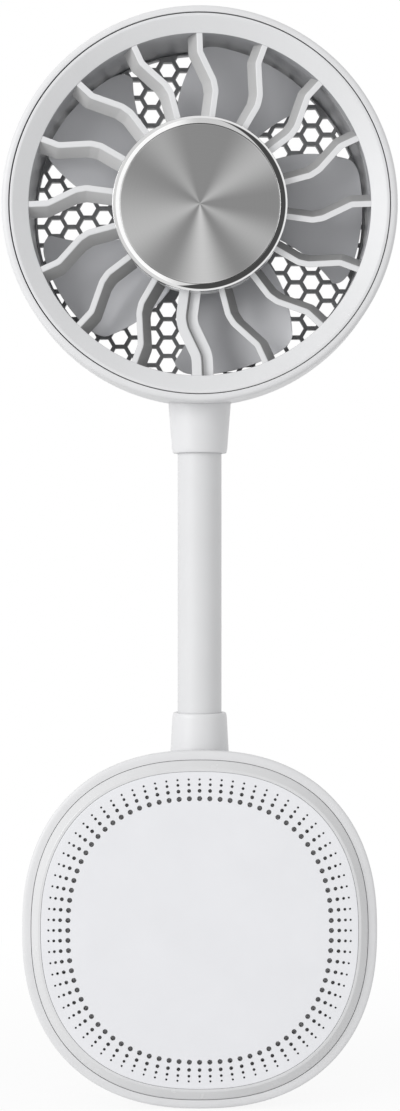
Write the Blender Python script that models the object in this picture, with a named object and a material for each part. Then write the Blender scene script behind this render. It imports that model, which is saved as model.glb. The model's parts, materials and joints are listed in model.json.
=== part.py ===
"""Portable fan: a round ducted head on a flexible neck, over a squircle battery pod.

Units are metres. +Z is up, +X is to the right and the fan blows towards -Y, where its
front faces. The origin is the centre of the flat pad on the pod's back.
"""

import math

import bmesh
import bpy

# Fits and cutting
GAP = 0.0003
SHAFT_GAP = 0.00015
OVERRUN = 0.0020

# Facets round a turned piece or an outline
HEAD_SIDES = 32
POD_SIDES = 36
HIDDEN_POD_SIDES = 24
SIDE_STEPS = 3
NECK_SIDES = 14
MOTOR_SIDES = 14
SMALL_SIDES = 8
SCREW_SIDES = 6

# Stations: the fan's axis over the pod's middle, and the neck's depth behind the front
FAN_HEIGHT = 0.1840
NECK_DEPTH = 0.0150

# Head shell: the outer housing with the air duct inside it
HEAD_RADIUS = 0.0502
HEAD_LIP_WIDTH = 0.0020
HEAD_LIP_DEPTH = 0.0019
HEAD_LIP_RECESS = 0.0003
HEAD_STRAIGHT_DEPTH = 0.0150
HEAD_TAIL_INSET = 0.0046
DUCT_WALL = 0.0015
INLET_LIP = 0.0010
INLET_FLARE = 0.0022
INLET_LIP_DEPTH = 0.0017
INLET_DEPTH = 0.0045
HEAD_CAVITY_TAPER = 0.0012

# Front grille: dished ring, kinked vanes and the hub cup in one moulding
RING_WIDTH = 0.0048
RING_RIM = 0.0009
RING_DISH = 0.0012
RING_THICKNESS = 0.0020
GRILLE_DEPTH = 0.0062
VANE_COUNT = 16
VANE_WIDTH = 0.0015
VANE_DEPTH = 0.0048
VANE_STEP = 0.0001
VANE_SHEAR = 0.0023
VANE_ANCHOR = 0.0007
VANE_TURNS_DEG = (0.0, 0.3, 6.7, 8.2, 8.4)
VANE_RADIUS_SHARES = (1.0, 0.89, 0.727, 0.669, 0.523)
CUP_STEP = 0.00055
CUP_WALL = 0.0022
CUP_FLOOR = 0.0014
CUP_RECESS = 0.0015

# Hub trim: the bevelled ring and the spun metal disc in it
TRIM_RADIUS = 0.02215
TRIM_RISE = 0.0009
TRIM_BEVEL = 0.0010
TRIM_LEDGE = 0.0018
TRIM_EDGE = 0.0003
TRIM_WIDTH = 0.00195
DISC_THICKNESS = 0.0007
DISC_SINK = 0.0005
DISC_CROWN = 0.0003

# Impeller
ROTOR_HUB_RADIUS = 0.0170
ROTOR_HUB_WALL = 0.0015
ROTOR_HUB_ROUND = 0.0012
ROTOR_ROOM = 0.0012
ROTOR_DEPTH = 0.0101
BLADE_COUNT = 5
BLADE_TIP_GAP = 0.0016
BLADE_THICKNESS = 0.0012
BLADE_FRONT_STEP = 0.0012
BLADE_REAR_ROOM = 0.0052
BLADE_START_DEG = 53.0
BLADE_SPAN_DEG = 54.0
BLADE_SWEEP_DEG = 18.0
BLADE_TAPER_DEG = 7.5
BLADE_CORNER = 0.0030
BLADE_CORNER_SHARE = 0.16
BLADE_SWEEP_POWER_SHARE = 1.3
BLADE_PITCH_POWER_SHARE = 1.35
BLADE_ROWS = 4
BLADE_COLUMNS = 5

# Motor, from the rotor bell back to the flange on the rear grille
BELL_WALL = 0.0008
BELL_BOSS_RADIUS = 0.0026
BELL_BOSS_LENGTH = 0.0010
MAGNET_THICKNESS = 0.0011
MAGNET_INSET = 0.0007
AIR_GAP = 0.0005
TOOTH_COUNT = 9
CORE_SETBACK = 0.0040
CORE_LENGTH = 0.0044
CORE_HUB_WALL = 0.0016
TOOTH_WIDTH = 0.0016
TOOTH_TIP = 0.0010
TOOTH_TIP_SHARE = 0.74
WINDING_OVERHANG = 0.0010
WINDING_INSET = 0.0012
SHAFT_RADIUS = 0.0010
BEARING_RADIUS = 0.0030
BEARING_WIDTH = 0.0023
BEARING_SHOULDER = 0.0006
TUBE_WALL = 0.0012
TUBE_PROUD = 0.0002
FLANGE_RADIUS = 0.0140
FLANGE_THICKNESS = 0.0015
BOARD_SEAT_RADIUS = 0.0080
MOTOR_BOARD_THICKNESS = 0.0010
REAR_BEARING_ROOM = 0.0020

# Rear grille with its hexagon mesh, and the motor screws in it
GRILLE_THICKNESS = 0.0020
GRILLE_RIM = 0.0008
PLATE_MARGIN = 0.0020
HEX_PITCH = 0.00486
HEX_WEB = 0.0010
MOTOR_SCREW_COUNT = 3
MOTOR_SCREW_CIRCLE = 0.0108
SCREW_RADIUS = 0.0008
SCREW_HEAD_RADIUS = 0.0015
SCREW_HEAD_HEIGHT = 0.0009
SCREW_LENGTH = 0.0030

# Neck: collars, ferrules, links of the bending core, sleeve and cable
STEM_RADIUS = 0.00568
SLEEVE_WALL = 0.00098
SLEEVE_TUCK = 0.0030
LINK_COUNT = 12
LINK_TURN_DEG = 15.0
LINK_BORE = 0.0020
CABLE_RADIUS = 0.0012
CABLE_TAIL = 0.0020
COLLAR_LIP = 0.0005
COLLAR_LIP_BAND = 0.0018
LOWER_COLLAR_LIP_WALL = 0.00137
LOWER_COLLAR_FOOT_WALL = 0.00192
LOWER_COLLAR_LENGTH = 0.0088
LOWER_COLLAR_ENTRY = 0.0045
UPPER_COLLAR_TOP_WALL = 0.00237
UPPER_COLLAR_LIP_WALL = 0.00147
UPPER_COLLAR_LENGTH = 0.0124
UPPER_COLLAR_ENTRY = 0.0032

# Pod: rear shell, bezel and front cover share one squircle outline
POD_HALF_WIDTH = 0.04505
POD_HALF_HEIGHT = 0.0454
POD_EXPONENT_SHARE = 2.33
POD_WIDEST_DEPTH = 0.0030
POD_TUCK = 0.0105
POD_SHELL_DEPTH = 0.0294
POD_BACK_ROUND = 0.0012
POD_WALL = 0.0020
POD_FLOOR_THICKNESS = 0.0026
SEAM_INSET = 0.0025
SEAM_DEPTH = 0.0015
BEZEL_WIDTH = 0.00275
BEZEL_DEPTH = 0.0022
BEZEL_SEAT = 0.0014
LEDGE_WIDTH = 0.0018
LEDGE_THICKNESS = 0.0012
COVER_THICKNESS = 0.0016
COVER_EDGE = 0.0002
HOLE_COLUMNS = 84
HOLE_SIDES = 5
STATION_STEPS = 40
HOLE_RADIUS = 0.00065
HOLE_ROW_INSET = 0.0121
SCREEN_THICKNESS = 0.0004
SCREEN_WIDTH = 0.0075
PAD_INSET = 0.0125
PAD_THICKNESS = 0.0013
PAD_EDGE = 0.0003
PAD_RISE = 0.0006

# Pod inside: cells, tray, boards, socket and button
CELL_RADIUS = 0.0091
CELL_LENGTH = 0.0500
CELL_CAP_RADIUS = 0.0030
CELL_CAP_HEIGHT = 0.0008
TRAY_WALL = 0.0010
TRAY_MARGIN = 0.0010
TRAY_ARM_HALF_WIDTH = 0.0060
BOARD_THICKNESS = 0.0012
BOARD_HALF_WIDTH = 0.0140
USB_WIDTH = 0.0089
USB_HEIGHT = 0.0032
USB_WALL = 0.0003
USB_DEPTH = 0.0130
USB_SINK = 0.0004
USB_LENGTH = 0.0080
USB_OVERHANG = 0.0050
USB_TONGUE_HALF_WIDTH = 0.0033
USB_TONGUE_HALF_THICKNESS = 0.00035
USB_TONGUE_SINK = 0.0012
BUTTON_LENGTH = 0.0120
BUTTON_WIDTH = 0.0052
BUTTON_DEPTH = 0.0095
BUTTON_SINK = 0.0002
BUTTON_TRAVEL = 0.0004
BUTTON_FLANGE = 0.0008
BUTTON_FLANGE_THICKNESS = 0.0008
SWITCH_BODY = 0.0030
SWITCH_HEIGHT = 0.0012
PLUNGER_RADIUS = 0.0009
PLUNGER_HEIGHT = 0.0006
SWITCH_BOARD_HALF_LENGTH = 0.0080
POD_SCREW_PLACE = 0.0235

# Radii and levels that follow from the sizes above
DUCT_RADIUS = HEAD_RADIUS - HEAD_LIP_WIDTH - RING_WIDTH
HEAD_TAIL_RADIUS = HEAD_RADIUS - HEAD_TAIL_INSET
INLET_RADIUS = DUCT_RADIUS - INLET_LIP
VANE_RECESS = RING_DISH + VANE_STEP
CUP_RADIUS = TRIM_RADIUS - CUP_STEP
DISC_RADIUS = TRIM_RADIUS - TRIM_WIDTH
PLATE_RADIUS = ROTOR_HUB_RADIUS + PLATE_MARGIN
LOWER_COLLAR_TOP_RADIUS = STEM_RADIUS + LOWER_COLLAR_LIP_WALL
LOWER_COLLAR_FOOT_RADIUS = STEM_RADIUS + LOWER_COLLAR_FOOT_WALL
UPPER_COLLAR_TOP_RADIUS = STEM_RADIUS + UPPER_COLLAR_TOP_WALL
UPPER_COLLAR_FOOT_RADIUS = STEM_RADIUS + UPPER_COLLAR_LIP_WALL
ROTOR_FRONT = GRILLE_DEPTH + ROTOR_ROOM
CORE_DEPTH = ROTOR_FRONT + CORE_SETBACK
TUBE_FRONT = CORE_DEPTH - TUBE_PROUD
WINDING_BACK = CORE_DEPTH + CORE_LENGTH + GAP + WINDING_OVERHANG
REAR_BEARING_FRONT = WINDING_BACK + MOTOR_BOARD_THICKNESS + 2 * GAP
GRILLE_PLANE = REAR_BEARING_FRONT + BEARING_WIDTH + REAR_BEARING_ROOM
BLADE_FRONT = ROTOR_FRONT + BLADE_FRONT_STEP
BLADE_REAR = GRILLE_PLANE - BLADE_REAR_ROOM
HEAD_LENGTH = GRILLE_PLANE + GRILLE_THICKNESS + INLET_DEPTH
HEAD_CAVITY_DEPTH = GRILLE_PLANE + GRILLE_THICKNESS / 2
POD_FLOOR_DEPTH = POD_SHELL_DEPTH - POD_FLOOR_THICKNESS
FRONT_PLANE = POD_SHELL_DEPTH + PAD_RISE
TRAY_LEVEL = POD_FLOOR_DEPTH - GAP - TRAY_WALL
BOARD_LEVEL = USB_DEPTH + USB_HEIGHT / 2 + GAP
TRAY_WALL_HEIGHT = TRAY_LEVEL - BOARD_LEVEL - BOARD_THICKNESS / 2
STEM_FOOT = POD_HALF_HEIGHT + LOWER_COLLAR_LENGTH
STEM_LENGTH = FAN_HEIGHT - HEAD_RADIUS - UPPER_COLLAR_LENGTH - STEM_FOOT


def clear_scene():
    for item in list(bpy.data.objects):
        bpy.data.objects.remove(item, do_unlink=True)


def finish(name, color, roughness, metallic=0.0):
    """Return a Principled material of one colour."""
    made = bpy.data.materials.new(name)
    made.use_nodes = True
    shader = made.node_tree.nodes["Principled BSDF"]
    shader.inputs["Base Color"].default_value = (*color, 1.0)
    shader.inputs["Roughness"].default_value = roughness
    shader.inputs["Metallic"].default_value = metallic
    return made


def make_finishes():
    """Materials by name, with the colours that the photographed pieces have."""
    return {
        "shell_white": finish("shell_white", (0.82, 0.83, 0.84), 0.42),
        "grille_white": finish("grille_white", (0.80, 0.81, 0.83), 0.38),
        "bezel_white": finish("bezel_white", (0.78, 0.79, 0.80), 0.28),
        "cover_white": finish("cover_white", (0.80, 0.81, 0.83), 0.45),
        "blade_grey": finish("blade_grey", (0.42, 0.43, 0.45), 0.40),
        "mesh_grey": finish("mesh_grey", (0.06, 0.06, 0.065), 0.55),
        "chrome": finish("chrome", (0.86, 0.87, 0.88), 0.12, 1.0),
        "spun_metal": finish("spun_metal", (0.62, 0.62, 0.63), 0.30, 1.0),
        "sleeve_rubber": finish("sleeve_rubber", (0.80, 0.81, 0.82), 0.55),
        "pad_rubber": finish("pad_rubber", (0.30, 0.31, 0.32), 0.80),
        "steel": finish("steel", (0.55, 0.56, 0.58), 0.35, 1.0),
        "magnet_black": finish("magnet_black", (0.04, 0.04, 0.045), 0.60),
        "copper": finish("copper", (0.72, 0.34, 0.16), 0.35, 1.0),
        "board_green": finish("board_green", (0.03, 0.20, 0.09), 0.45),
        "inner_black": finish("inner_black", (0.05, 0.05, 0.05), 0.60),
        "cell_wrap": finish("cell_wrap", (0.10, 0.26, 0.50), 0.40),
        "cable_black": finish("cable_black", (0.03, 0.03, 0.03), 0.60),
    }


# Rings and outlines


def circle(radius, sides):
    """Points of a circle in its own plane."""
    turns = [2 * math.pi * step / sides for step in range(sides)]
    return [(radius * math.cos(turn), radius * math.sin(turn)) for turn in turns]


def squircle(inset, sides=POD_SIDES):
    """Points of the pod's outline, drawn in by the inset."""
    half_width = POD_HALF_WIDTH - inset
    half_height = POD_HALF_HEIGHT - inset
    points = []
    for step in range(sides):
        turn = 2 * math.pi * step / sides
        across = abs(math.cos(turn) / half_width) ** POD_EXPONENT_SHARE
        along = abs(math.sin(turn) / half_height) ** POD_EXPONENT_SHARE
        reach = (across + along) ** (-1 / POD_EXPONENT_SHARE)
        points.append((reach * math.cos(turn), reach * math.sin(turn)))
    return points


def stadium(length, width, sides=SMALL_SIDES):
    """Points of a slot outline with round ends, longest along its second axis."""
    radius = width / 2
    reach = length / 2 - radius
    points = []
    for end, first in ((reach, 0.0), (-reach, math.pi)):
        for step in range(sides // 2 + 1):
            turn = first + math.pi * step / (sides // 2)
            points.append((radius * math.cos(turn), end + radius * math.sin(turn)))
    return points


def rectangle(low, high):
    return [(low[0], low[1]), (high[0], low[1]), (high[0], high[1]), (low[0], high[1])]


def arc(centre, reach, start_deg, end_deg, steps):
    """Points of an ellipse arc in a profile's plane, both ends included."""
    points = []
    for step in range(steps + 1):
        turn = math.radians(start_deg + (end_deg - start_deg) * step / steps)
        points.append((centre[0] + reach[0] * math.cos(turn), centre[1] + reach[1] * math.sin(turn)))
    return points


def stand(points, level, axis):
    """Lift plane points to a level along X, Y or Z."""
    if axis == "X":
        return [(level, first, second) for first, second in points]
    if axis == "Y":
        return [(first, level, second) for first, second in points]
    return [(first, second, level) for first, second in points]


# Meshes and objects


def skin(mesh_edit, rings, ends):
    """Join rings with faces; the end rings are joined in a loop, filled flat or as strips."""
    rows = [[mesh_edit.verts.new(point) for point in ring] for ring in rings]
    pairs = list(zip(rows, rows[1:]))
    if ends == "loop":
        pairs.append((rows[-1], rows[0]))
    for low, high in pairs:
        count = max(len(low), len(high))
        for step in range(count):
            after = (step + 1) % count
            if len(low) == 1:
                mesh_edit.faces.new((low[0], high[step], high[after]))
            elif len(high) == 1:
                mesh_edit.faces.new((low[after], low[step], high[0]))
            else:
                mesh_edit.faces.new((low[step], high[step], high[after], low[after]))
    if ends == "loop":
        return
    for row in (rows[0], rows[-1]):
        if ends == "strip":
            for step in range(len(row) // 2 - 1):
                mesh_edit.faces.new((row[step], row[step + 1], row[-step - 2], row[-step - 1]))
        elif len(row) > 2:
            mesh_edit.faces.new(row)


def turned_rings(profile, axis, sides):
    """Rings of a turned piece from (radius, level) points."""
    return [
        stand(circle(radius, sides), level, axis) if radius > 0 else stand([(0.0, 0.0)], level, axis)
        for radius, level in profile
    ]


def new_piece(name, bodies, material, parent, place, smooth_deg=35.0):
    """Make an object from bodies of rings, at a world place under its parent."""
    edit = bmesh.new()
    for rings, ends in bodies:
        skin(edit, rings, ends)
    bmesh.ops.recalc_face_normals(edit, faces=edit.faces)
    mesh = bpy.data.meshes.new(name)
    edit.to_mesh(mesh)
    edit.free()
    mesh.materials.append(material)
    mesh.shade_smooth()
    mesh.set_sharp_from_angle(angle=math.radians(smooth_deg))
    made = bpy.data.objects.new(name, mesh)
    bpy.context.scene.collection.objects.link(made)
    attach(made, parent, place)
    return made


def attach(child, parent, place):
    """Put an object at a world place and parent it without turning it."""
    start = (0.0, 0.0, 0.0)
    if parent is not None:
        child.parent = parent
        start = parent["place"]
    child.location = [here - there for here, there in zip(place, start)]


def new_pivot(name, parent, place):
    """An empty that carries a body, standing on its joint's axis."""
    made = bpy.data.objects.new(name, None)
    bpy.context.scene.collection.objects.link(made)
    made["place"] = place
    attach(made, parent, place)
    return made


def new_cutter(name, bodies, parent, place):
    """A hidden body that only shapes other pieces."""
    made = new_piece(name, bodies, bpy.data.materials["inner_black"], parent, place)
    made.hide_render = True
    made.display_type = "WIRE"
    return made


def shape_by(piece, operation, other):
    """Add a Boolean of the given kind with another body."""
    step = piece.modifiers.new(other.name, "BOOLEAN")
    step.operation = operation
    step.object = other
    step.solver = "EXACT"


def turned(name, profile, axis, sides, material, parent, place, ends="loop"):
    return new_piece(name, [(turned_rings(profile, axis, sides), ends)], material, parent, place)


def prism(outline, low, high, axis):
    return ([stand(outline, low, axis), stand(outline, high, axis)], "flat")


def tube(outer, bore, low, high):
    """Closed profile of a plain sleeve from one level to another."""
    return [(outer, low), (outer, high), (bore, high), (bore, low)]


# Head


def head_place():
    return (0.0, -FRONT_PLANE, FAN_HEIGHT)


def collar_cutter(name, radius, low, high, parent):
    """Upright cylinder that opens a shell wall for a collar."""
    place = (0.0, NECK_DEPTH - FRONT_PLANE, 0.0)
    return new_cutter(name, [prism(circle(radius, NECK_SIDES), low, high, "Z")], parent, place)


def make_head_shell(finishes, parent):
    """Outer housing with a rounded lip, a tucked tail and the duct wall inside."""
    seam = HEAD_RADIUS - HEAD_LIP_WIDTH + GAP / 2
    lip_depth = HEAD_LIP_RECESS + HEAD_LIP_DEPTH
    lip = arc((seam, lip_depth), (HEAD_RADIUS - seam, HEAD_LIP_DEPTH), -90.0, 0.0, 2)
    tail_reach = (HEAD_RADIUS - HEAD_TAIL_RADIUS, HEAD_LENGTH - HEAD_STRAIGHT_DEPTH)
    tail = arc((HEAD_TAIL_RADIUS, HEAD_STRAIGHT_DEPTH), tail_reach, 0.0, 90.0, 3)
    seat = GRILLE_PLANE + GRILLE_THICKNESS + GAP
    flare_depth = seat + INLET_LIP_DEPTH
    inlet = [
        (INLET_RADIUS + INLET_FLARE, HEAD_LENGTH),
        (INLET_RADIUS, flare_depth),
        (INLET_RADIUS, seat),
    ]
    duct_start = GRILLE_DEPTH + GAP
    duct_outside = DUCT_RADIUS + DUCT_WALL
    duct = [
        (DUCT_RADIUS, seat),
        (DUCT_RADIUS, duct_start),
        (duct_outside, duct_start),
        (duct_outside, HEAD_CAVITY_DEPTH),
        (seam - HEAD_CAVITY_TAPER, HEAD_CAVITY_DEPTH),
        (seam, HEAD_STRAIGHT_DEPTH),
    ]
    profile = lip + tail + inlet + duct
    shell = turned("head_shell", profile, "Y", HEAD_SIDES, finishes["shell_white"], parent, head_place())
    top = FAN_HEIGHT - duct_outside - GAP
    low = FAN_HEIGHT - HEAD_RADIUS - OVERRUN
    hole = collar_cutter("head_collar_hole", UPPER_COLLAR_TOP_RADIUS + GAP, low, top, parent)
    shape_by(shell, "DIFFERENCE", hole)


def vane_path():
    """Centre line of one vane, which kinks twice between the ring and the cup."""
    path = []
    for turn_deg, share in zip(VANE_TURNS_DEG, VANE_RADIUS_SHARES):
        radius = DUCT_RADIUS * share
        if share == VANE_RADIUS_SHARES[0]:
            radius += VANE_ANCHOR
        if share == VANE_RADIUS_SHARES[-1]:
            radius = CUP_RADIUS - VANE_ANCHOR
        turn = math.radians(turn_deg)
        path.append((radius * math.sin(turn), radius * math.cos(turn)))
    return path


def ribbon(path, width):
    """Left and right sides of a path of the given width."""
    left = []
    right = []
    for step, point in enumerate(path):
        before = path[max(step - 1, 0)]
        after = path[min(step + 1, len(path) - 1)]
        length = math.dist(before, after)
        across = ((after[1] - before[1]) / length, -(after[0] - before[0]) / length)
        left.append((point[0] - across[0] * width / 2, point[1] - across[1] * width / 2))
        right.append((point[0] + across[0] * width / 2, point[1] + across[1] * width / 2))
    return left, right


def vane_body(turn):
    """One vane as rings of four corners, sheared so that its back edge trails."""
    left, right = ribbon(vane_path(), VANE_WIDTH)
    rings = []
    for first, second in zip(left, right):
        ring = []
        for corner, depth in (
            (first, VANE_RECESS),
            (second, VANE_RECESS),
            (second, VANE_RECESS + VANE_DEPTH),
            (first, VANE_RECESS + VANE_DEPTH),
        ):
            shift = VANE_SHEAR if depth > VANE_RECESS else 0.0
            across = corner[0] - shift
            ring.append((
                across * math.cos(turn) + corner[1] * math.sin(turn),
                depth,
                corner[1] * math.cos(turn) - across * math.sin(turn),
            ))
        rings.append(ring)
    return (rings, "flat")


def make_front_grille(finishes, parent):
    """Dished ring with its spigot, joined to the hub cup by kinked vanes."""
    outside = HEAD_RADIUS - HEAD_LIP_WIDTH - GAP / 2
    spigot = DUCT_RADIUS + DUCT_WALL
    profile = [
        (DUCT_RADIUS, RING_DISH),
        (outside - RING_RIM, 0.0),
        (outside, 0.0),
        (outside, RING_THICKNESS),
        (spigot, RING_THICKNESS),
        (spigot, GRILLE_DEPTH),
        (DUCT_RADIUS, GRILLE_DEPTH),
    ]
    grille = turned("front_grille", profile, "Y", HEAD_SIDES, finishes["grille_white"], parent, head_place())
    bore = CUP_RADIUS - CUP_WALL
    floor = GRILLE_DEPTH - CUP_FLOOR
    cup = [
        (0.0, floor),
        (bore, floor),
        (bore, CUP_RECESS),
        (CUP_RADIUS, CUP_RECESS),
        (CUP_RADIUS, GRILLE_DEPTH),
        (0.0, GRILLE_DEPTH),
    ]
    cup_body = (turned_rings(cup, "Y", HEAD_SIDES), "flat")
    shape_by(grille, "UNION", new_cutter("hub_cup_body", [cup_body], parent, head_place()))
    vanes = [vane_body(2 * math.pi * step / VANE_COUNT) for step in range(VANE_COUNT)]
    shape_by(grille, "UNION", new_cutter("vane_bodies", vanes, parent, head_place()))
    seat = prism(circle(TRIM_RADIUS + GAP, HEAD_SIDES), -TRIM_RISE - OVERRUN, CUP_RECESS, "Y")
    shape_by(grille, "DIFFERENCE", new_cutter("trim_seat", [seat], parent, head_place()))


def make_hub_trim(finishes, parent):
    """Bevelled ring on the cup, and the spun disc that lies on its ledge."""
    bore = DISC_RADIUS + GAP
    ledge = DISC_SINK + DISC_THICKNESS - TRIM_RISE + GAP
    foot = CUP_RECESS - GAP
    ring = [
        (TRIM_RADIUS, foot),
        (TRIM_RADIUS, TRIM_EDGE),
        (TRIM_RADIUS - TRIM_BEVEL, -TRIM_RISE),
        (bore, -TRIM_RISE),
        (bore, ledge),
        (bore - TRIM_LEDGE, ledge),
        (bore - TRIM_LEDGE, foot),
    ]
    turned("hub_trim_ring", ring, "Y", HEAD_SIDES, finishes["chrome"], parent, head_place())
    face = DISC_SINK - TRIM_RISE
    disc = [
        (0.0, face - DISC_CROWN),
        (DISC_RADIUS, face),
        (DISC_RADIUS, face + DISC_THICKNESS),
        (0.0, face + DISC_THICKNESS),
    ]
    turned("hub_disc", disc, "Y", HEAD_SIDES, finishes["spun_metal"], parent, head_place(), ends="flat")


# Rotor


def blade_point(across_share, along_share, behind):
    """A point of one blade; across runs with the turn, along runs out to the tip."""
    root = ROTOR_HUB_RADIUS - ROTOR_HUB_WALL / 2
    tip = DUCT_RADIUS - BLADE_TIP_GAP
    edge = min(across_share, 1 - across_share) / BLADE_CORNER_SHARE
    if edge < 1:
        tip -= BLADE_CORNER * (1 - math.sqrt(1 - (1 - edge) ** 2))
    radius = root + (tip - root) * along_share
    start_deg = BLADE_START_DEG + BLADE_SWEEP_DEG * along_share ** BLADE_SWEEP_POWER_SHARE
    span_deg = BLADE_SPAN_DEG - BLADE_TAPER_DEG * along_share
    turn = math.radians(start_deg + span_deg * across_share)
    pitch_share = 1 - (1 - across_share) ** BLADE_PITCH_POWER_SHARE
    depth = BLADE_FRONT + (BLADE_REAR - BLADE_THICKNESS - BLADE_FRONT) * pitch_share + behind
    return (radius, turn, depth)


def blade_body(start):
    """One blade as rings round its section, from the hub to the tip."""
    rings = []
    shares = [step / BLADE_COLUMNS for step in range(BLADE_COLUMNS + 1)]
    for row in range(BLADE_ROWS + 1):
        along_share = row / BLADE_ROWS
        front = [blade_point(share, along_share, 0.0) for share in shares]
        back = [blade_point(share, along_share, BLADE_THICKNESS) for share in reversed(shares)]
        rings.append([
            (radius * math.sin(turn + start), depth, radius * math.cos(turn + start))
            for radius, turn, depth in front + back
        ])
    return (rings, "strip")


def make_impeller(finishes, parent):
    """Hub cup with swept blades that are pitched from front to rear."""
    back = ROTOR_FRONT + ROTOR_DEPTH
    inside = ROTOR_HUB_RADIUS - ROTOR_HUB_WALL
    roof = ROTOR_FRONT + ROTOR_HUB_WALL
    hub = [
        (0.0, ROTOR_FRONT),
        (ROTOR_HUB_RADIUS - ROTOR_HUB_ROUND, ROTOR_FRONT),
        (ROTOR_HUB_RADIUS, ROTOR_FRONT + ROTOR_HUB_ROUND),
        (ROTOR_HUB_RADIUS, back),
        (inside, back),
        (inside, roof),
        (0.0, roof),
    ]
    sides = HEAD_SIDES // 2
    impeller = turned("impeller", hub, "Y", sides, finishes["blade_grey"], parent, head_place(), ends="flat")
    blades = [blade_body(2 * math.pi * step / BLADE_COUNT) for step in range(BLADE_COUNT)]
    shape_by(impeller, "UNION", new_cutter("blade_bodies", blades, parent, head_place()))


def bell_radius():
    return ROTOR_HUB_RADIUS - ROTOR_HUB_WALL - GAP


def bell_front():
    return ROTOR_FRONT + ROTOR_HUB_WALL + GAP


def magnet_bore():
    return bell_radius() - BELL_WALL - GAP - MAGNET_THICKNESS


def make_rotor_core(finishes, parent):
    """Steel bell in the hub, the magnet ring in it and the shaft through its boss."""
    back = ROTOR_FRONT + ROTOR_DEPTH
    inside = bell_radius() - BELL_WALL
    roof = bell_front() + BELL_WALL
    hole = SHAFT_RADIUS + SHAFT_GAP
    bell = [
        (hole, bell_front()),
        (bell_radius(), bell_front()),
        (bell_radius(), back),
        (inside, back),
        (inside, roof),
        (BELL_BOSS_RADIUS, roof),
        (BELL_BOSS_RADIUS, roof + BELL_BOSS_LENGTH),
        (hole, roof + BELL_BOSS_LENGTH),
    ]
    turned("rotor_bell", bell, "Y", MOTOR_SIDES, finishes["steel"], parent, head_place())
    magnet = tube(inside - GAP, magnet_bore(), roof + GAP, back - MAGNET_INSET)
    turned("rotor_magnet", magnet, "Y", MOTOR_SIDES, finishes["magnet_black"], parent, head_place())
    end = GRILLE_PLANE - GAP - FLANGE_THICKNESS
    shaft = [(0.0, bell_front()), (SHAFT_RADIUS, bell_front()), (SHAFT_RADIUS, end), (0.0, end)]
    turned("motor_shaft", shaft, "Y", MOTOR_SIDES, finishes["steel"], parent, head_place(), ends="flat")


# Stator and motor mount


def core_radius():
    return magnet_bore() - AIR_GAP


def core_outline():
    """Star of teeth with wide tips."""
    hub = BEARING_RADIUS + SHAFT_GAP + TUBE_WALL + GAP + CORE_HUB_WALL
    tip = core_radius()
    neck = tip - TOOTH_TIP
    half = TOOTH_WIDTH / 2
    spread = math.pi / TOOTH_COUNT * TOOTH_TIP_SHARE
    points = []
    for tooth in range(TOOTH_COUNT):
        middle = 2 * math.pi * tooth / TOOTH_COUNT
        for radius, turn in (
            (hub, -math.asin(half / hub)),
            (neck, -math.asin(half / neck)),
            (neck, -spread),
            (tip, -spread),
            (tip, spread),
            (neck, spread),
            (neck, math.asin(half / neck)),
            (hub, math.asin(half / hub)),
        ):
            points.append((radius * math.cos(middle + turn), radius * math.sin(middle + turn)))
    return points


def make_stator(finishes, parent):
    """Toothed core on the bearing tube, with the crown of copper end turns behind it."""
    bore = BEARING_RADIUS + SHAFT_GAP + TUBE_WALL + GAP
    rear = CORE_DEPTH + CORE_LENGTH
    star = prism(core_outline(), CORE_DEPTH, rear, "Y")
    core = new_piece("stator_core", [star], finishes["steel"], parent, head_place())
    hole = prism(circle(bore, MOTOR_SIDES), CORE_DEPTH - OVERRUN, rear + OVERRUN, "Y")
    shape_by(core, "DIFFERENCE", new_cutter("core_bore", [hole], parent, head_place()))
    middle = rear + GAP + WINDING_OVERHANG / 2
    outer = core_radius() - WINDING_INSET
    crown = [
        (bore, rear + GAP),
        (outer, rear + GAP),
        (outer, middle),
        (outer - WINDING_OVERHANG / 2, WINDING_BACK),
        (bore, WINDING_BACK),
    ]
    turned("stator_windings", crown, "Y", MOTOR_SIDES, finishes["copper"], parent, head_place())


def make_motor_mount(finishes, parent):
    """Bearing tube and flange, with a bearing at each end and the board on its seat."""
    tube_radius = BEARING_RADIUS + SHAFT_GAP + TUBE_WALL
    bore = BEARING_RADIUS + SHAFT_GAP
    neck = bore - BEARING_SHOULDER
    back = GRILLE_PLANE - GAP
    flange = back - FLANGE_THICKNESS
    board = WINDING_BACK + GAP
    front_shoulder = TUBE_FRONT + BEARING_WIDTH + GAP
    profile = [
        (bore, TUBE_FRONT),
        (tube_radius, TUBE_FRONT),
        (tube_radius, REAR_BEARING_FRONT),
        (BOARD_SEAT_RADIUS, REAR_BEARING_FRONT),
        (BOARD_SEAT_RADIUS, flange),
        (FLANGE_RADIUS, flange),
        (FLANGE_RADIUS, back),
        (bore, back),
        (bore, REAR_BEARING_FRONT - GAP),
        (neck, REAR_BEARING_FRONT - GAP),
        (neck, front_shoulder),
        (bore, front_shoulder),
    ]
    mount = turned("motor_mount", profile, "Y", MOTOR_SIDES, finishes["inner_black"], parent, head_place())
    shape_by(mount, "DIFFERENCE", new_cutter("mount_holes", motor_screw_holes(flange), parent, head_place()))
    hole = SHAFT_RADIUS + SHAFT_GAP
    for name, start in (("bearing_front", TUBE_FRONT), ("bearing_rear", REAR_BEARING_FRONT)):
        ring = tube(BEARING_RADIUS, hole, start, start + BEARING_WIDTH)
        turned(name, ring, "Y", MOTOR_SIDES, finishes["steel"], parent, head_place())
    plate = tube(core_radius() - GAP, tube_radius + GAP, board, board + MOTOR_BOARD_THICKNESS)
    turned("motor_board", plate, "Y", MOTOR_SIDES, finishes["board_green"], parent, head_place())


def motor_screw_places():
    turns = [2 * math.pi * (step + 0.5) / MOTOR_SCREW_COUNT for step in range(MOTOR_SCREW_COUNT)]
    return [(MOTOR_SCREW_CIRCLE * math.sin(turn), MOTOR_SCREW_CIRCLE * math.cos(turn)) for turn in turns]


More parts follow.
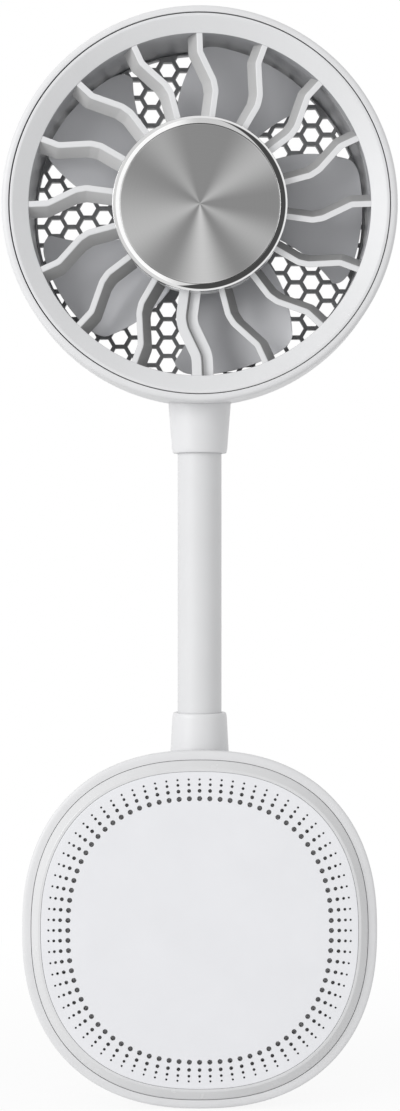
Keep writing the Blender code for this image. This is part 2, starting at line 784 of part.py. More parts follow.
def shifted(outline, place):
    return [(first + place[0], second + place[1]) for first, second in outline]


def motor_screw_holes(front):
    """Clearance cylinders for the motor screws, through the flange and the plate."""
    back = GRILLE_PLANE + GRILLE_THICKNESS + OVERRUN
    outline = circle(SCREW_RADIUS + GAP, SCREW_SIDES)
    return [prism(shifted(outline, place), front - OVERRUN, back, "Y") for place in motor_screw_places()]


def screw_rings(place, seat, direction, axis):
    """A pan head screw whose head lies past its seat in the given direction."""
    levels = [
        (SCREW_RADIUS, seat - direction * SCREW_LENGTH),
        (SCREW_RADIUS, seat + direction * GAP),
        (SCREW_HEAD_RADIUS, seat + direction * GAP),
        (SCREW_HEAD_RADIUS, seat + direction * (GAP + SCREW_HEAD_HEIGHT)),
    ]
    return [stand(shifted(circle(radius, SCREW_SIDES), place), level, axis) for radius, level in levels]


# Rear grille


def hexagon(centre, width):
    """Hexagon with flat top and bottom, of the given width across flats."""
    reach = width / math.sqrt(3)
    turns = [math.pi * step / 3 for step in range(6)]
    return [(centre[0] + reach * math.cos(turn), centre[1] + reach * math.sin(turn)) for turn in turns]


def hex_centres(inner, outer):
    """Centres of the mesh cells that lie whole between two radii."""
    column_pitch = HEX_PITCH * math.sqrt(3) / 2
    columns = math.ceil(outer / column_pitch)
    rows = math.ceil(outer / HEX_PITCH)
    reach = (HEX_PITCH - HEX_WEB) / math.sqrt(3)
    centres = []
    for column in range(-columns, columns + 1):
        lift = HEX_PITCH / 2 if column % 2 else 0.0
        for row in range(-rows, rows + 1):
            centre = (column * column_pitch, row * HEX_PITCH + lift)
            distance = math.hypot(*centre)
            if inner + reach < distance < outer - reach:
                centres.append(centre)
    return centres


def make_rear_grille(finishes, parent):
    """Disc with a hexagon mesh round a solid plate, which carries the motor."""
    outside = DUCT_RADIUS - GAP
    back = GRILLE_PLANE + GRILLE_THICKNESS
    disc = prism(circle(outside, HEAD_SIDES), GRILLE_PLANE, back, "Y")
    grille = new_piece("rear_grille", [disc], finishes["mesh_grey"], parent, head_place())
    cells = [
        prism(hexagon(centre, HEX_PITCH - HEX_WEB), GRILLE_PLANE - OVERRUN, back + OVERRUN, "Y")
        for centre in hex_centres(PLATE_RADIUS, outside - GRILLE_RIM)
    ]
    shape_by(grille, "DIFFERENCE", new_cutter("hex_cells", cells, parent, head_place()))
    holes = motor_screw_holes(GRILLE_PLANE)
    shape_by(grille, "DIFFERENCE", new_cutter("plate_holes", holes, parent, head_place()))
    for number, place in enumerate(motor_screw_places(), start=1):
        rings = screw_rings(place, back, 1, "Y")
        new_piece(f"motor_screw_{number}", [(rings, "flat")], finishes["steel"], parent, head_place())


# Neck


def link_pitch():
    return STEM_LENGTH / LINK_COUNT


def link_radius():
    return STEM_RADIUS - SLEEVE_WALL - GAP


def pivot_height(number):
    """Height of a bending axis, counted from 1 at the foot of the stem."""
    return STEM_FOOT + link_pitch() * (number - 0.5)


def link_clearance():
    """Room between two links, so that they can turn without touching."""
    return 2 * link_radius() * math.tan(math.radians(LINK_TURN_DEG) / 2) + GAP / 2


def neck_place(height):
    return (0.0, NECK_DEPTH - FRONT_PLANE, height)


def make_link(number, finishes, parent):
    """One ring of the bending core, which turns on the axis at its foot."""
    reach = link_clearance() / 2
    ring = tube(link_radius(), LINK_BORE, reach, link_pitch() - reach)
    place = neck_place(pivot_height(number))
    turned(f"neck_link_{number}", ring, "Z", SMALL_SIDES, finishes["steel"], parent, place)


def make_sleeve(finishes, parent, pivot_number):
    """Smooth tube over the core, and the cable that runs through it."""
    base = pivot_height(pivot_number)
    place = neck_place(base)
    low = STEM_FOOT - SLEEVE_TUCK - base
    high = STEM_FOOT + STEM_LENGTH + SLEEVE_TUCK - base
    sleeve = tube(STEM_RADIUS, STEM_RADIUS - SLEEVE_WALL, low, high)
    turned("neck_sleeve", sleeve, "Z", NECK_SIDES, finishes["sleeve_rubber"], parent, place)
    bottom = lower_collar_foot() - CABLE_TAIL - base
    top = upper_collar_top() + CABLE_TAIL / 2 - base
    cable = [(0.0, bottom), (CABLE_RADIUS, bottom), (CABLE_RADIUS, top), (0.0, top)]
    turned("neck_cable", cable, "Z", SMALL_SIDES, finishes["cable_black"], parent, place, ends="flat")


def lower_collar_foot():
    """Level of the collar's end inside the pod's wall."""
    return POD_HALF_HEIGHT - pod_tuck(NECK_DEPTH) - LOWER_COLLAR_ENTRY


def upper_collar_top():
    return FAN_HEIGHT - HEAD_RADIUS + UPPER_COLLAR_ENTRY


def collar_profile(ends, lip_end, ferrule_bore, sleeve_bore):
    """Tapered collar from its inner end to its lip; levels may run up or down."""
    (foot_radius, foot), (lip_radius, lip) = ends
    way = 1 if lip > foot else -1
    band = lip - way * COLLAR_LIP_BAND
    tuck = lip - way * (SLEEVE_TUCK + GAP)
    return [
        (foot_radius, foot),
        (foot_radius, lip_end),
        (lip_radius, band),
        (lip_radius - COLLAR_LIP, lip),
        (sleeve_bore, lip),
        (sleeve_bore, tuck),
        (ferrule_bore, tuck),
        (ferrule_bore, foot),
    ]


def make_collars(finishes, root, head):
    """The two tapered collars that hold the neck's ends."""
    ferrule_bore = link_radius() + GAP
    sleeve_bore = STEM_RADIUS + GAP
    exit_level = POD_HALF_HEIGHT - pod_tuck(NECK_DEPTH)
    ends = ((LOWER_COLLAR_FOOT_RADIUS, lower_collar_foot()), (LOWER_COLLAR_TOP_RADIUS, STEM_FOOT))
    profile = collar_profile(ends, exit_level, ferrule_bore, sleeve_bore)
    turned("lower_collar", profile, "Z", NECK_SIDES, finishes["shell_white"], root, neck_place(0.0))
    stem_top = STEM_FOOT + STEM_LENGTH
    exit_level = FAN_HEIGHT - HEAD_RADIUS
    ends = ((UPPER_COLLAR_TOP_RADIUS, upper_collar_top()), (UPPER_COLLAR_FOOT_RADIUS, stem_top))
    profile = collar_profile(ends, exit_level, ferrule_bore, sleeve_bore)
    turned("upper_collar", profile, "Z", NECK_SIDES, finishes["shell_white"], head, neck_place(0.0))


def make_ferrules(finishes, root, head):
    """The core's fixed ends, one in each collar."""
    reach = link_clearance() / 2
    low = tube(link_radius(), LINK_BORE, lower_collar_foot(), pivot_height(1) - reach)
    turned("neck_ferrule_lower", low, "Z", SMALL_SIDES, finishes["steel"], root, neck_place(0.0))
    high = tube(link_radius(), LINK_BORE, pivot_height(LINK_COUNT) + reach, upper_collar_top())
    turned("neck_ferrule_upper", high, "Z", SMALL_SIDES, finishes["steel"], head, neck_place(0.0))


# Pod


def pod_place():
    return (0.0, -FRONT_PLANE, 0.0)


def pod_tuck(depth):
    """How far the pod's side has drawn in at a depth behind its widest line."""
    share = max(depth - POD_WIDEST_DEPTH, 0.0) / (POD_SHELL_DEPTH - POD_WIDEST_DEPTH)
    return POD_TUCK * share ** 2


def squircle_rings(profile, sides=POD_SIDES):
    return [stand(squircle(inset, sides), depth, "Y") for inset, depth in profile]


def make_rear_shell(finishes, parent):
    """Pod housing: rounded lip, tucked side, flat back and the pad's recess."""
    seam = SEAM_INSET - GAP / 2
    lip = arc((seam, POD_WIDEST_DEPTH), (seam, POD_WIDEST_DEPTH - SEAM_DEPTH), -90.0, -180.0, 2)
    run = POD_SHELL_DEPTH - POD_BACK_ROUND - POD_WIDEST_DEPTH
    depths = [POD_WIDEST_DEPTH + run * step / SIDE_STEPS for step in range(1, SIDE_STEPS + 1)]
    side = [(pod_tuck(depth), depth) for depth in depths]
    recess = FRONT_PLANE - PAD_THICKNESS - GAP
    edge = PAD_INSET - GAP
    back = [
        (pod_tuck(POD_SHELL_DEPTH) + POD_BACK_ROUND / 2, POD_SHELL_DEPTH),
        (edge, POD_SHELL_DEPTH),
        (edge, recess),
    ]
    seat = SEAM_DEPTH + BEZEL_DEPTH + GAP
    floor_inset = pod_tuck(POD_FLOOR_DEPTH) + POD_WALL
    middle = (seat + POD_FLOOR_DEPTH) / 2
    inside = [
        (floor_inset, POD_FLOOR_DEPTH),
        (pod_tuck(middle) + POD_WALL, middle),
        (pod_tuck(seat) + POD_WALL, seat + LEDGE_THICKNESS + LEDGE_WIDTH),
        (SEAM_INSET + BEZEL_SEAT, seat + LEDGE_THICKNESS),
        (SEAM_INSET + BEZEL_SEAT, seat),
        (seam, seat),
    ]
    rings = squircle_rings(list(reversed(lip + side + back)))
    rings += squircle_rings(list(reversed(inside)))
    shell = new_piece("rear_shell", [(rings, "flat")], finishes["shell_white"], parent, pod_place())
    collar_radius = LOWER_COLLAR_FOOT_RADIUS + GAP
    low = lower_collar_foot() - OVERRUN
    top = POD_HALF_HEIGHT + OVERRUN
    shape_by(shell, "DIFFERENCE", collar_cutter("pod_collar_hole", collar_radius, low, top, parent))
    outline = shifted(stadium_across(USB_WIDTH + 2 * GAP, USB_HEIGHT + 2 * GAP), (0.0, USB_DEPTH))
    usb = prism(outline, -POD_HALF_HEIGHT - OVERRUN, usb_mouth() + POD_WALL * 2, "Z")
    shape_by(shell, "DIFFERENCE", new_cutter("usb_opening", [usb], parent, pod_place()))
    outline = shifted(stadium(BUTTON_LENGTH + 2 * GAP, BUTTON_WIDTH + 2 * GAP), (BUTTON_DEPTH, 0.0))
    slot = prism(outline, button_back() - OVERRUN, POD_HALF_WIDTH + OVERRUN, "X")
    shape_by(shell, "DIFFERENCE", new_cutter("button_opening", [slot], parent, pod_place()))
    shape_by(shell, "DIFFERENCE", new_cutter("pod_screw_holes", pod_screw_holes(), parent, pod_place()))


def make_bezel(finishes, parent):
    """Sloped ring between the shell's lip and the cover, with a ledge under the cover."""
    outer = SEAM_INSET + GAP / 2
    inner = SEAM_INSET + BEZEL_WIDTH - GAP / 2
    bottom = SEAM_DEPTH + BEZEL_DEPTH
    ledge = COVER_THICKNESS + GAP
    profile = [
        (outer, bottom),
        (outer, SEAM_DEPTH),
        (inner, 0.0),
        (inner, ledge),
        (inner + LEDGE_THICKNESS, ledge),
        (inner + LEDGE_THICKNESS, bottom),
    ]
    rings = squircle_rings(profile)
    new_piece("bezel_ring", [(rings, "loop")], finishes["bezel_white"], parent, pod_place())


def cover_inset():
    return SEAM_INSET + BEZEL_WIDTH + GAP / 2


def hole_stations(inset, count):
    """Points and outward normals at even steps along the pod's outline."""
    outline = squircle(inset, count * STATION_STEPS)
    runs = [math.dist(here, there) for here, there in zip(outline, outline[1:] + outline[:1])]
    step_length = sum(runs) / count
    stations = []
    travelled = 0.0
    for here, there, run in zip(outline, outline[1:] + outline[:1], runs):
        while len(stations) * step_length <= travelled + run * 0.5 and len(stations) < count:
            normal = [
                math.copysign(abs(part / half) ** (POD_EXPONENT_SHARE - 1) / half, part)
                for part, half in zip(here, (POD_HALF_WIDTH - inset, POD_HALF_HEIGHT - inset))
            ]
            size = math.hypot(*normal)
            stations.append((here, (normal[0] / size, normal[1] / size)))
        travelled += run
    return stations


def make_cover(finishes, parent):
    """Flat front plate with its innermost ring of holes, and the dark screen behind."""
    inset = cover_inset()
    rings = squircle_rings([(inset, COVER_THICKNESS), (inset, COVER_EDGE), (inset + COVER_EDGE, 0.0)])
    cover = new_piece("front_cover", [(rings, "flat")], finishes["cover_white"], parent, pod_place())
    holes = []
    for (across, along), _ in hole_stations(HOLE_ROW_INSET, HOLE_COLUMNS):
        outline = shifted(circle(HOLE_RADIUS, HOLE_SIDES), (across, along))
        holes.append(prism(outline, -OVERRUN, COVER_THICKNESS + OVERRUN, "Y"))
    shape_by(cover, "DIFFERENCE", new_cutter("cover_holes", holes, parent, pod_place()))
    outer = SEAM_INSET + BEZEL_WIDTH - GAP / 2 + LEDGE_THICKNESS + GAP
    front = COVER_THICKNESS + GAP
    rings = squircle_rings([
        (outer, front),
        (outer, front + SCREEN_THICKNESS),
        (outer + SCREEN_WIDTH, front + SCREEN_THICKNESS),
        (outer + SCREEN_WIDTH, front),
    ], HIDDEN_POD_SIDES)
    new_piece("dust_screen", [(rings, "loop")], finishes["inner_black"], parent, pod_place())


def make_pad(finishes, parent):
    """Flat rubber pad in the recess of the pod's back."""
    front = FRONT_PLANE - PAD_THICKNESS
    back = FRONT_PLANE
    rings = squircle_rings([(PAD_INSET, front), (PAD_INSET, back - PAD_EDGE), (PAD_INSET + PAD_EDGE, back)])
    new_piece("back_pad", [(rings, "flat")], finishes["pad_rubber"], parent, pod_place())


def pod_screw_places():
    return [(x * POD_SCREW_PLACE, z * POD_SCREW_PLACE) for x in (-1, 1) for z in (-1, 1)]


def pod_screw_seat():
    """Level of the counterbore floor under each pod screw's head."""
    recess = FRONT_PLANE - PAD_THICKNESS - GAP
    return recess - SCREW_HEAD_HEIGHT - 2 * GAP


def pod_screw_holes():
    """Shank holes and counterbores for the four screws under the pad."""
    rings = []
    seat = pod_screw_seat()
    for place in pod_screw_places():
        levels = [
            (SCREW_RADIUS + GAP, TRAY_LEVEL - OVERRUN),
            (SCREW_RADIUS + GAP, seat),
            (SCREW_HEAD_RADIUS + GAP, seat),
            (SCREW_HEAD_RADIUS + GAP, FRONT_PLANE + OVERRUN),
        ]
        outlines = [(shifted(circle(radius, SCREW_SIDES), place), level) for radius, level in levels]
        rings.append(([stand(outline, level, "Y") for outline, level in outlines], "flat"))
    return rings


# Pod inside


def tray_inside():
    return (2 * CELL_RADIUS + GAP * 1.5, CELL_LENGTH / 2 + CELL_CAP_HEIGHT + GAP)


def make_tray(finishes, parent):
    """Plate on the shell's floor with a wall round the cells, level with the board."""
    plate_inset = pod_tuck(POD_FLOOR_DEPTH) + POD_WALL + TRAY_MARGIN
    back = TRAY_LEVEL + TRAY_WALL
    plate = squircle_rings([(plate_inset, TRAY_LEVEL), (plate_inset, back)], HIDDEN_POD_SIDES)
    tray = new_piece("battery_tray", [(plate, "flat")], finishes["inner_black"], parent, pod_place())
    half_width, half_height = tray_inside()
    front = TRAY_LEVEL - TRAY_WALL_HEIGHT
    corner = (half_width + TRAY_WALL, half_height + TRAY_WALL)
    block = prism(rectangle((-corner[0], -corner[1]), corner), front, TRAY_LEVEL + TRAY_WALL / 2, "Y")
    shape_by(tray, "UNION", new_cutter("tray_block", [block], parent, pod_place()))
    reach = rectangle((half_width, -TRAY_ARM_HALF_WIDTH), (switch_board_back() - GAP, TRAY_ARM_HALF_WIDTH))
    arm = prism(reach, front, front + 2 * TRAY_WALL, "Y")
    shape_by(tray, "UNION", new_cutter("tray_arm", [arm], parent, pod_place()))
    hollow = rectangle((-half_width, -half_height), (half_width, half_height))
    room = prism(hollow, front - OVERRUN, TRAY_LEVEL, "Y")
    shape_by(tray, "DIFFERENCE", new_cutter("tray_room", [room], parent, pod_place()))
    shape_by(tray, "DIFFERENCE", new_cutter("tray_holes", pod_screw_holes(), parent, pod_place()))
    for number, place in enumerate(pod_screw_places(), start=1):
        rings = screw_rings(place, pod_screw_seat(), 1, "Y")
        new_piece(f"pod_screw_{number}", [(rings, "flat")], finishes["steel"], parent, pod_place())


def make_cells(finishes, parent):
    """Two round cells side by side in the tray."""
    half = CELL_LENGTH / 2
    profile = [
        (0.0, -half),
        (CELL_RADIUS, -half),
        (CELL_RADIUS, half),
        (CELL_CAP_RADIUS, half),
        (CELL_CAP_RADIUS, half + CELL_CAP_HEIGHT),
        (0.0, half + CELL_CAP_HEIGHT),
    ]
    depth = TRAY_LEVEL - GAP - CELL_RADIUS
    wrap = finishes["cell_wrap"]
    for number, side in ((1, -1), (2, 1)):
        place = (side * (CELL_RADIUS + GAP / 2), depth - FRONT_PLANE, 0.0)
        turned(f"battery_cell_{number}", profile, "Z", NECK_SIDES, wrap, parent, place, ends="flat")


def usb_mouth():
    """Level of the socket's mouth, just inside the pod's side."""
    return -(POD_HALF_HEIGHT - pod_tuck(USB_DEPTH) - USB_SINK)


def stadium_across(length, width):
    """The slot outline turned, longest along its first axis."""
    return [(second, first) for first, second in stadium(length, width)]


def make_board_and_socket(finishes, parent):
    """Main board beyond the tray's end wall, with the charging socket on its face."""
    top = -(tray_inside()[1] + TRAY_WALL + GAP)
    bottom = usb_mouth() + USB_OVERHANG
    outline = rectangle((-BOARD_HALF_WIDTH, bottom), (BOARD_HALF_WIDTH, top))
    board = prism(outline, BOARD_LEVEL, BOARD_LEVEL + BOARD_THICKNESS, "Y")
    new_piece("main_board", [board], finishes["board_green"], parent, pod_place())
    place = (0.0, USB_DEPTH)
    root = usb_mouth() + USB_LENGTH
    body = prism(shifted(stadium_across(USB_WIDTH, USB_HEIGHT), place), usb_mouth(), root, "Z")
    socket = new_piece("usb_socket", [body], finishes["steel"], parent, pod_place())
    room = prism(
        shifted(stadium_across(USB_WIDTH - 2 * USB_WALL, USB_HEIGHT - 2 * USB_WALL), place),
        usb_mouth() - OVERRUN, root - USB_WALL * 3, "Z",
    )
    shape_by(socket, "DIFFERENCE", new_cutter("socket_room", [room], parent, pod_place()))
    tongue = rectangle(
        (-USB_TONGUE_HALF_WIDTH, USB_DEPTH - USB_TONGUE_HALF_THICKNESS),
        (USB_TONGUE_HALF_WIDTH, USB_DEPTH + USB_TONGUE_HALF_THICKNESS),
    )
    body = prism(tongue, usb_mouth() + USB_TONGUE_SINK, root - USB_WALL, "Z")
    shape_by(socket, "UNION", new_cutter("socket_tongue", [body], parent, pod_place()))


def button_face():
    """Widest point of the button's face, measured from the pod's middle."""
    return POD_HALF_WIDTH - pod_tuck(BUTTON_DEPTH - BUTTON_WIDTH / 2) - BUTTON_SINK


def button_back():
    """Inner end of the button, behind its flange."""
    wall_inside = POD_HALF_WIDTH - pod_tuck(BUTTON_DEPTH + BUTTON_WIDTH / 2 + BUTTON_FLANGE) - POD_WALL
    return wall_inside - GAP - BUTTON_FLANGE_THICKNESS * 1.5


def make_button(finishes, parent, place):
    """Slot-shaped cap with a flange behind the shell's wall, cut to the pod's side."""
    back = button_back() - place[0]
    flange_top = back + BUTTON_FLANGE_THICKNESS
    cap = prism(stadium(BUTTON_LENGTH, BUTTON_WIDTH), back, POD_HALF_WIDTH - place[0], "X")
    button = new_piece("power_button", [cap], finishes["grille_white"], parent, place)
    flange = prism(
        stadium(BUTTON_LENGTH + 2 * BUTTON_FLANGE, BUTTON_WIDTH + 2 * BUTTON_FLANGE),
        back - BUTTON_FLANGE_THICKNESS / 4, flange_top, "X",
    )
    shape_by(button, "UNION", new_cutter("button_flange", [flange], parent, place))
    depths = [BUTTON_DEPTH + BUTTON_WIDTH * (step - 3) / 3 for step in range(7)]
    envelope = squircle_rings([(pod_tuck(depth) + BUTTON_SINK, depth) for depth in depths])
    shape_by(button, "INTERSECT", new_cutter("pod_envelope", [(envelope, "flat")], parent, pod_place()))


def plunger_end():
    """Tip of the switch's plunger, clear of the button when it is pressed."""
    return button_back() - BUTTON_FLANGE_THICKNESS / 4 - BUTTON_TRAVEL - GAP


def switch_board_face():
    return plunger_end() - PLUNGER_HEIGHT - SWITCH_HEIGHT - GAP


def switch_board_back():
    return switch_board_face() - BOARD_THICKNESS


def make_switch(finishes, parent):
    """Small board on the tray's arm, with the switch that the button presses."""
    face = switch_board_face()
    body_front = plunger_end() - PLUNGER_HEIGHT
    half = SWITCH_BODY
    outline = rectangle((BUTTON_DEPTH - half, -half), (BUTTON_DEPTH + half, half))
    body = prism(outline, face + GAP, body_front, "X")
    switch = new_piece("tact_switch", [body], finishes["inner_black"], parent, pod_place())
    stem = shifted(circle(PLUNGER_RADIUS, SMALL_SIDES), (BUTTON_DEPTH, 0.0))
    plunger = prism(stem, face + 2 * GAP, plunger_end(), "X")
    shape_by(switch, "UNION", new_cutter("switch_plunger", [plunger], parent, pod_place()))
    reach = TRAY_LEVEL - TRAY_WALL_HEIGHT + 2 * TRAY_WALL
    half = SWITCH_BOARD_HALF_LENGTH
    outline = rectangle((BUTTON_DEPTH - BUTTON_WIDTH, -half), (reach, half))
    board = prism(outline, switch_board_back(), face, "X")
    new_piece("switch_board", [board], finishes["board_green"], parent, pod_place())


def main():
    clear_scene()
    finishes = make_finishes()
    root = new_pivot("pod_body", None, (0.0, 0.0, 0.0))
    make_rear_shell(finishes, root)
    make_bezel(finishes, root)
    make_cover(finishes, root)
    make_pad(finishes, root)
    make_tray(finishes, root)
    make_cells(finishes, root)
    make_board_and_socket(finishes, root)
    make_switch(finishes, root)
    button_place = (button_face(), BUTTON_DEPTH - FRONT_PLANE, 0.0)
    make_button(finishes, new_pivot("power_button_slide", root, button_place), button_place)

    pivot = root
    for number in range(1, LINK_COUNT):
        pivot = new_pivot(f"neck_pivot_{number}", pivot, neck_place(pivot_height(number)))
        make_link(number, finishes, pivot)
        if number == LINK_COUNT // 2:
            make_sleeve(finishes, pivot, number)
    head = new_pivot(f"neck_pivot_{LINK_COUNT}", pivot, neck_place(pivot_height(LINK_COUNT)))
    make_collars(finishes, root, head)
    make_ferrules(finishes, root, head)

    make_head_shell(finishes, head)
    make_front_grille(finishes, head)
    make_hub_trim(finishes, head)
    make_stator(finishes, head)
    make_motor_mount(finishes, head)
    make_rear_grille(finishes, head)
    rotor = new_pivot("fan_axis", head, head_place())
    make_impeller(finishes, rotor)
    make_rotor_core(finishes, rotor)


main()
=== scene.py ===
"""Looks of the portable fan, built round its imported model.

Units are metres, in the model's own frame: +Z is up and the fan's front faces -Y. Each
node that shows is replaced by a finer mesh of the same shape, with its own finish.
"""

import json
from math import atan2, ceil, copysign, cos, dist, hypot, pi, radians, remainder, sin, sqrt

import bmesh
import bpy
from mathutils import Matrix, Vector


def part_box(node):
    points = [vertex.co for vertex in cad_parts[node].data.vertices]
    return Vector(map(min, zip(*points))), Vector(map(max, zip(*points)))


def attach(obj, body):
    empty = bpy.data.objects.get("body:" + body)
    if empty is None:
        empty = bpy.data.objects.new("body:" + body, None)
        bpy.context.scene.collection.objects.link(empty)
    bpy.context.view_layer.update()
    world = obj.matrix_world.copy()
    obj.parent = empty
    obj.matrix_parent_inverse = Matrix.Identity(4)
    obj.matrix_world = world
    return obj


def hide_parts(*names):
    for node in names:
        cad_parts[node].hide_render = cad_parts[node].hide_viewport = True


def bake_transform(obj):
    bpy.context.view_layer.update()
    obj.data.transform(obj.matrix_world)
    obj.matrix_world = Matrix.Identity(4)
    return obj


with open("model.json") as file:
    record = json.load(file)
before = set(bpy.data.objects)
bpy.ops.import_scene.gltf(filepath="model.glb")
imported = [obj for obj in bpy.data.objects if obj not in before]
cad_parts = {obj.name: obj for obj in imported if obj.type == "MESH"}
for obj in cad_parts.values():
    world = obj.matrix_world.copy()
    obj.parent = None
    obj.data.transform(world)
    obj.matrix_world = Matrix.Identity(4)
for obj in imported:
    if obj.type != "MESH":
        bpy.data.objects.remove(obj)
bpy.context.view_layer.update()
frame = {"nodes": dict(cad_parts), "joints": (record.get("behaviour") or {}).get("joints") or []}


def span(name, zero=0.0):
    """Half width and middle height of a node, and how far its front and back lie behind zero."""
    low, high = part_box(name)
    return (high.x - low.x) / 2, (high.z + low.z) / 2, low.y - zero, high.y - zero


def upright(name):
    """Half width, foot and top of a node."""
    low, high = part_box(name)
    return (high.x - low.x) / 2, low.z, high.z


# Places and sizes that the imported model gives. Depths in the head are counted from the front
# of its ring, and depths in the pod from the front of its cover.
_, _, RING_LEVEL, _ = span("front_grille")
HEAD_RADIUS, FAN_HEIGHT, HEAD_FRONT, HEAD_BACK = span("head_shell", RING_LEVEL)
RING_RADIUS, _, _, RING_BACK = span("front_grille", RING_LEVEL)
TRIM_RADIUS, _, TRIM_FRONT, TRIM_BACK = span("hub_trim_ring", RING_LEVEL)
DISC_RADIUS, _, DISC_FRONT, DISC_BACK = span("hub_disc", RING_LEVEL)
_, _, ROTOR_FRONT, _ = span("impeller", RING_LEVEL)
MESH_RADIUS, _, MESH_FRONT, MESH_BACK = span("rear_grille", RING_LEVEL)
_, _, COVER_LEVEL, _ = span("front_cover")
_, _, _, COVER_BACK = span("front_cover", COVER_LEVEL)
POD_HALF_WIDTH, _, _, SHELL_BACK = span("rear_shell", COVER_LEVEL)
_, _, _, BEZEL_BACK = span("bezel_ring", COVER_LEVEL)
_, _, PAD_FRONT, PAD_BACK = span("back_pad", COVER_LEVEL)
STEM_RADIUS, SLEEVE_LOW, SLEEVE_HIGH = upright("neck_sleeve")
CABLE_RADIUS, CABLE_LOW, CABLE_HIGH = upright("neck_cable")
UPPER_RADIUS, UPPER_LOW, UPPER_HIGH = upright("upper_collar")
LOWER_RADIUS, LOWER_LOW, LOWER_HIGH = upright("lower_collar")
POD_HALF_HEIGHT = -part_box("rear_shell")[0].z
BUTTON_LOW, BUTTON_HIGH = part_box("power_button")
BUTTON_PLACE = (BUTTON_LOW.y + BUTTON_HIGH.y) / 2
SOCKET_LOW, SOCKET_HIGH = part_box("usb_socket")
SOCKET_PLACE = (SOCKET_LOW.y + SOCKET_HIGH.y) / 2
NECK_JOINTS = [joint for joint in frame["joints"] if joint["name"].startswith("neck")]
PIVOTS = {joint["child"]: joint["pos_m"] for joint in NECK_JOINTS}
NECK_PLACE = PIVOTS["head"][1]
LINK_COUNT = len(PIVOTS)
LINK_PITCH = PIVOTS["link_2"][2] - PIVOTS["link_1"][2]
STEM_FOOT = PIVOTS["link_1"][2] - LINK_PITCH / 2

# Fits
GAP = 0.0003
SEAM_GAP = 0.00020
OVERRUN = 0.0020

# Facets, curve steps and rounds
HEAD_SIDES = 192
POD_SIDES = 216
NECK_SIDES = 64
SMALL_SIDES = 32
HOLE_SIDES = 16
ROUND_STEPS = 4
TUCK_STEPS = 14
LIP_STEPS = 16
TAIL_STEPS = 20
VANE_ROUND_STEPS = 3
DISC_STEPS = 10
BUTTON_ROUND_STEPS = 5
BUTTON_DISH_STEPS = 6
SHARP_DEG = 38.0
WELD = 0.0000004
TINY = 1e-9
EDGE_ROUND = 0.00018
SOFT_ROUND = EDGE_ROUND * 3

# Walls are the faces whose normals have less than this share along the fan's axis
WALL_TURN = 0.5
WALL_TOLERANCE = 0.00004

# Lips of the two shells: 2 is an ellipse, more is flatter in front
LIP_POWER = 3.1

# Head shell
HEAD_SEAM_GAP = 0.00027
RING_SHIFT = 0.0001
RING_SHIFT_CLOCK_DEG = 150.0
HEAD_LIP_DEPTH = 0.0019
HEAD_STRAIGHT_DEPTH = 0.0150
HEAD_TAIL_RADIUS = HEAD_RADIUS - 0.0046
DUCT_RADIUS = MESH_RADIUS + GAP
DUCT_WALL = 0.0015
INLET_RADIUS = DUCT_RADIUS - 0.0003
INLET_FLARE = 0.0022
INLET_LIP_DEPTH = 0.0017
CAVITY_TAPER = 0.0012

# Front grille
RING_RIM = 0.0007
RING_DISH = 0.0020
RING_THICKNESS = 0.0020
RING_EDGE_ROUND = 0.00022
VANE_COUNT = 16
VANE_WIDTH = 0.0015
VANE_DEPTH = 0.0040
VANE_STEP = 0.0001
VANE_SHEAR = 0.0023
VANE_ANCHOR = 0.0007
VANE_EDGE_ROUND = 0.00018
FLANK_TURN = 0.55
VANE_KINK_ROUND = 0.0005
VANE_TURNS_DEG = (0.0, 0.3, 6.7, 8.2, 8.4)
VANE_RADIUS_SHARES = (1.0, 0.89, 0.727, 0.669)

# Strips of a vane are (low side, high side, sink, share of the shear, dip of the low side)
WHOLE_VANE = (-VANE_WIDTH / 2, VANE_WIDTH / 2, 0.0, 1.0, 0.0)
RIB_STEP = 8
RIB_STRIPS = (
    (-0.0019, 0.0006, 0.0, 0.45, 0.0),
    (0.0010, 0.0036, 0.0012, 0.0, 0.0006),
    (0.0004, 0.0012, 0.0026, 0.3, 0.0),
)
RIB_RISE_SHARE = 0.12
RIB_KINK_ROUND = 0.0012

# Hub cup
CUP_RADIUS = TRIM_RADIUS - 0.0001
CUP_CLEAR = 0.0005
CUP_WALL = 0.0022
CUP_FLOOR = 0.0014
CUP_RECESS = 0.0015

# Hub trim and its disc
TRIM_DROP = 0.00035
TRIM_ASIDE = 0.00008
TRIM_GAP = 0.0001
TRIM_LEDGE = 0.0018
TRIM_SIDE = 0.0002
TRIM_ROUND = 0.00014
TRIM_BAND_DIP = 0.00035
DISC_EDGE_ROUND = 0.00015
DISC_CROWN = 0.0003

# Impeller
BLADE_COUNT = 5
HUB_RADIUS = 0.0170
HUB_WALL = 0.0015
HUB_ROUND = 0.0012
BLADE_TIP_GAP = 0.0014
BLADE_THICKNESS = 0.0012
BLADE_FRONT_STEP = 0.0012
BLADE_REAR_ROOM = 0.0052
BLADE_START_DEG = 53.0
BLADE_SPAN_DEG = 54.0
BLADE_SWEEP_DEG = 18.0
BLADE_TAPER_DEG = 7.5
BLADE_CORNER = 0.0030
BLADE_CORNER_SHARE = 0.16
BLADE_SWEEP_POWER = 1.3
BLADE_PITCH_POWER = 1.35
BLADE_EDGE_POWER = 8
BLADE_EDGE_CUT = 0.9
HUB_DEPTH = 0.0101
BLADE_ROWS = 20
BLADE_COLUMNS = 28

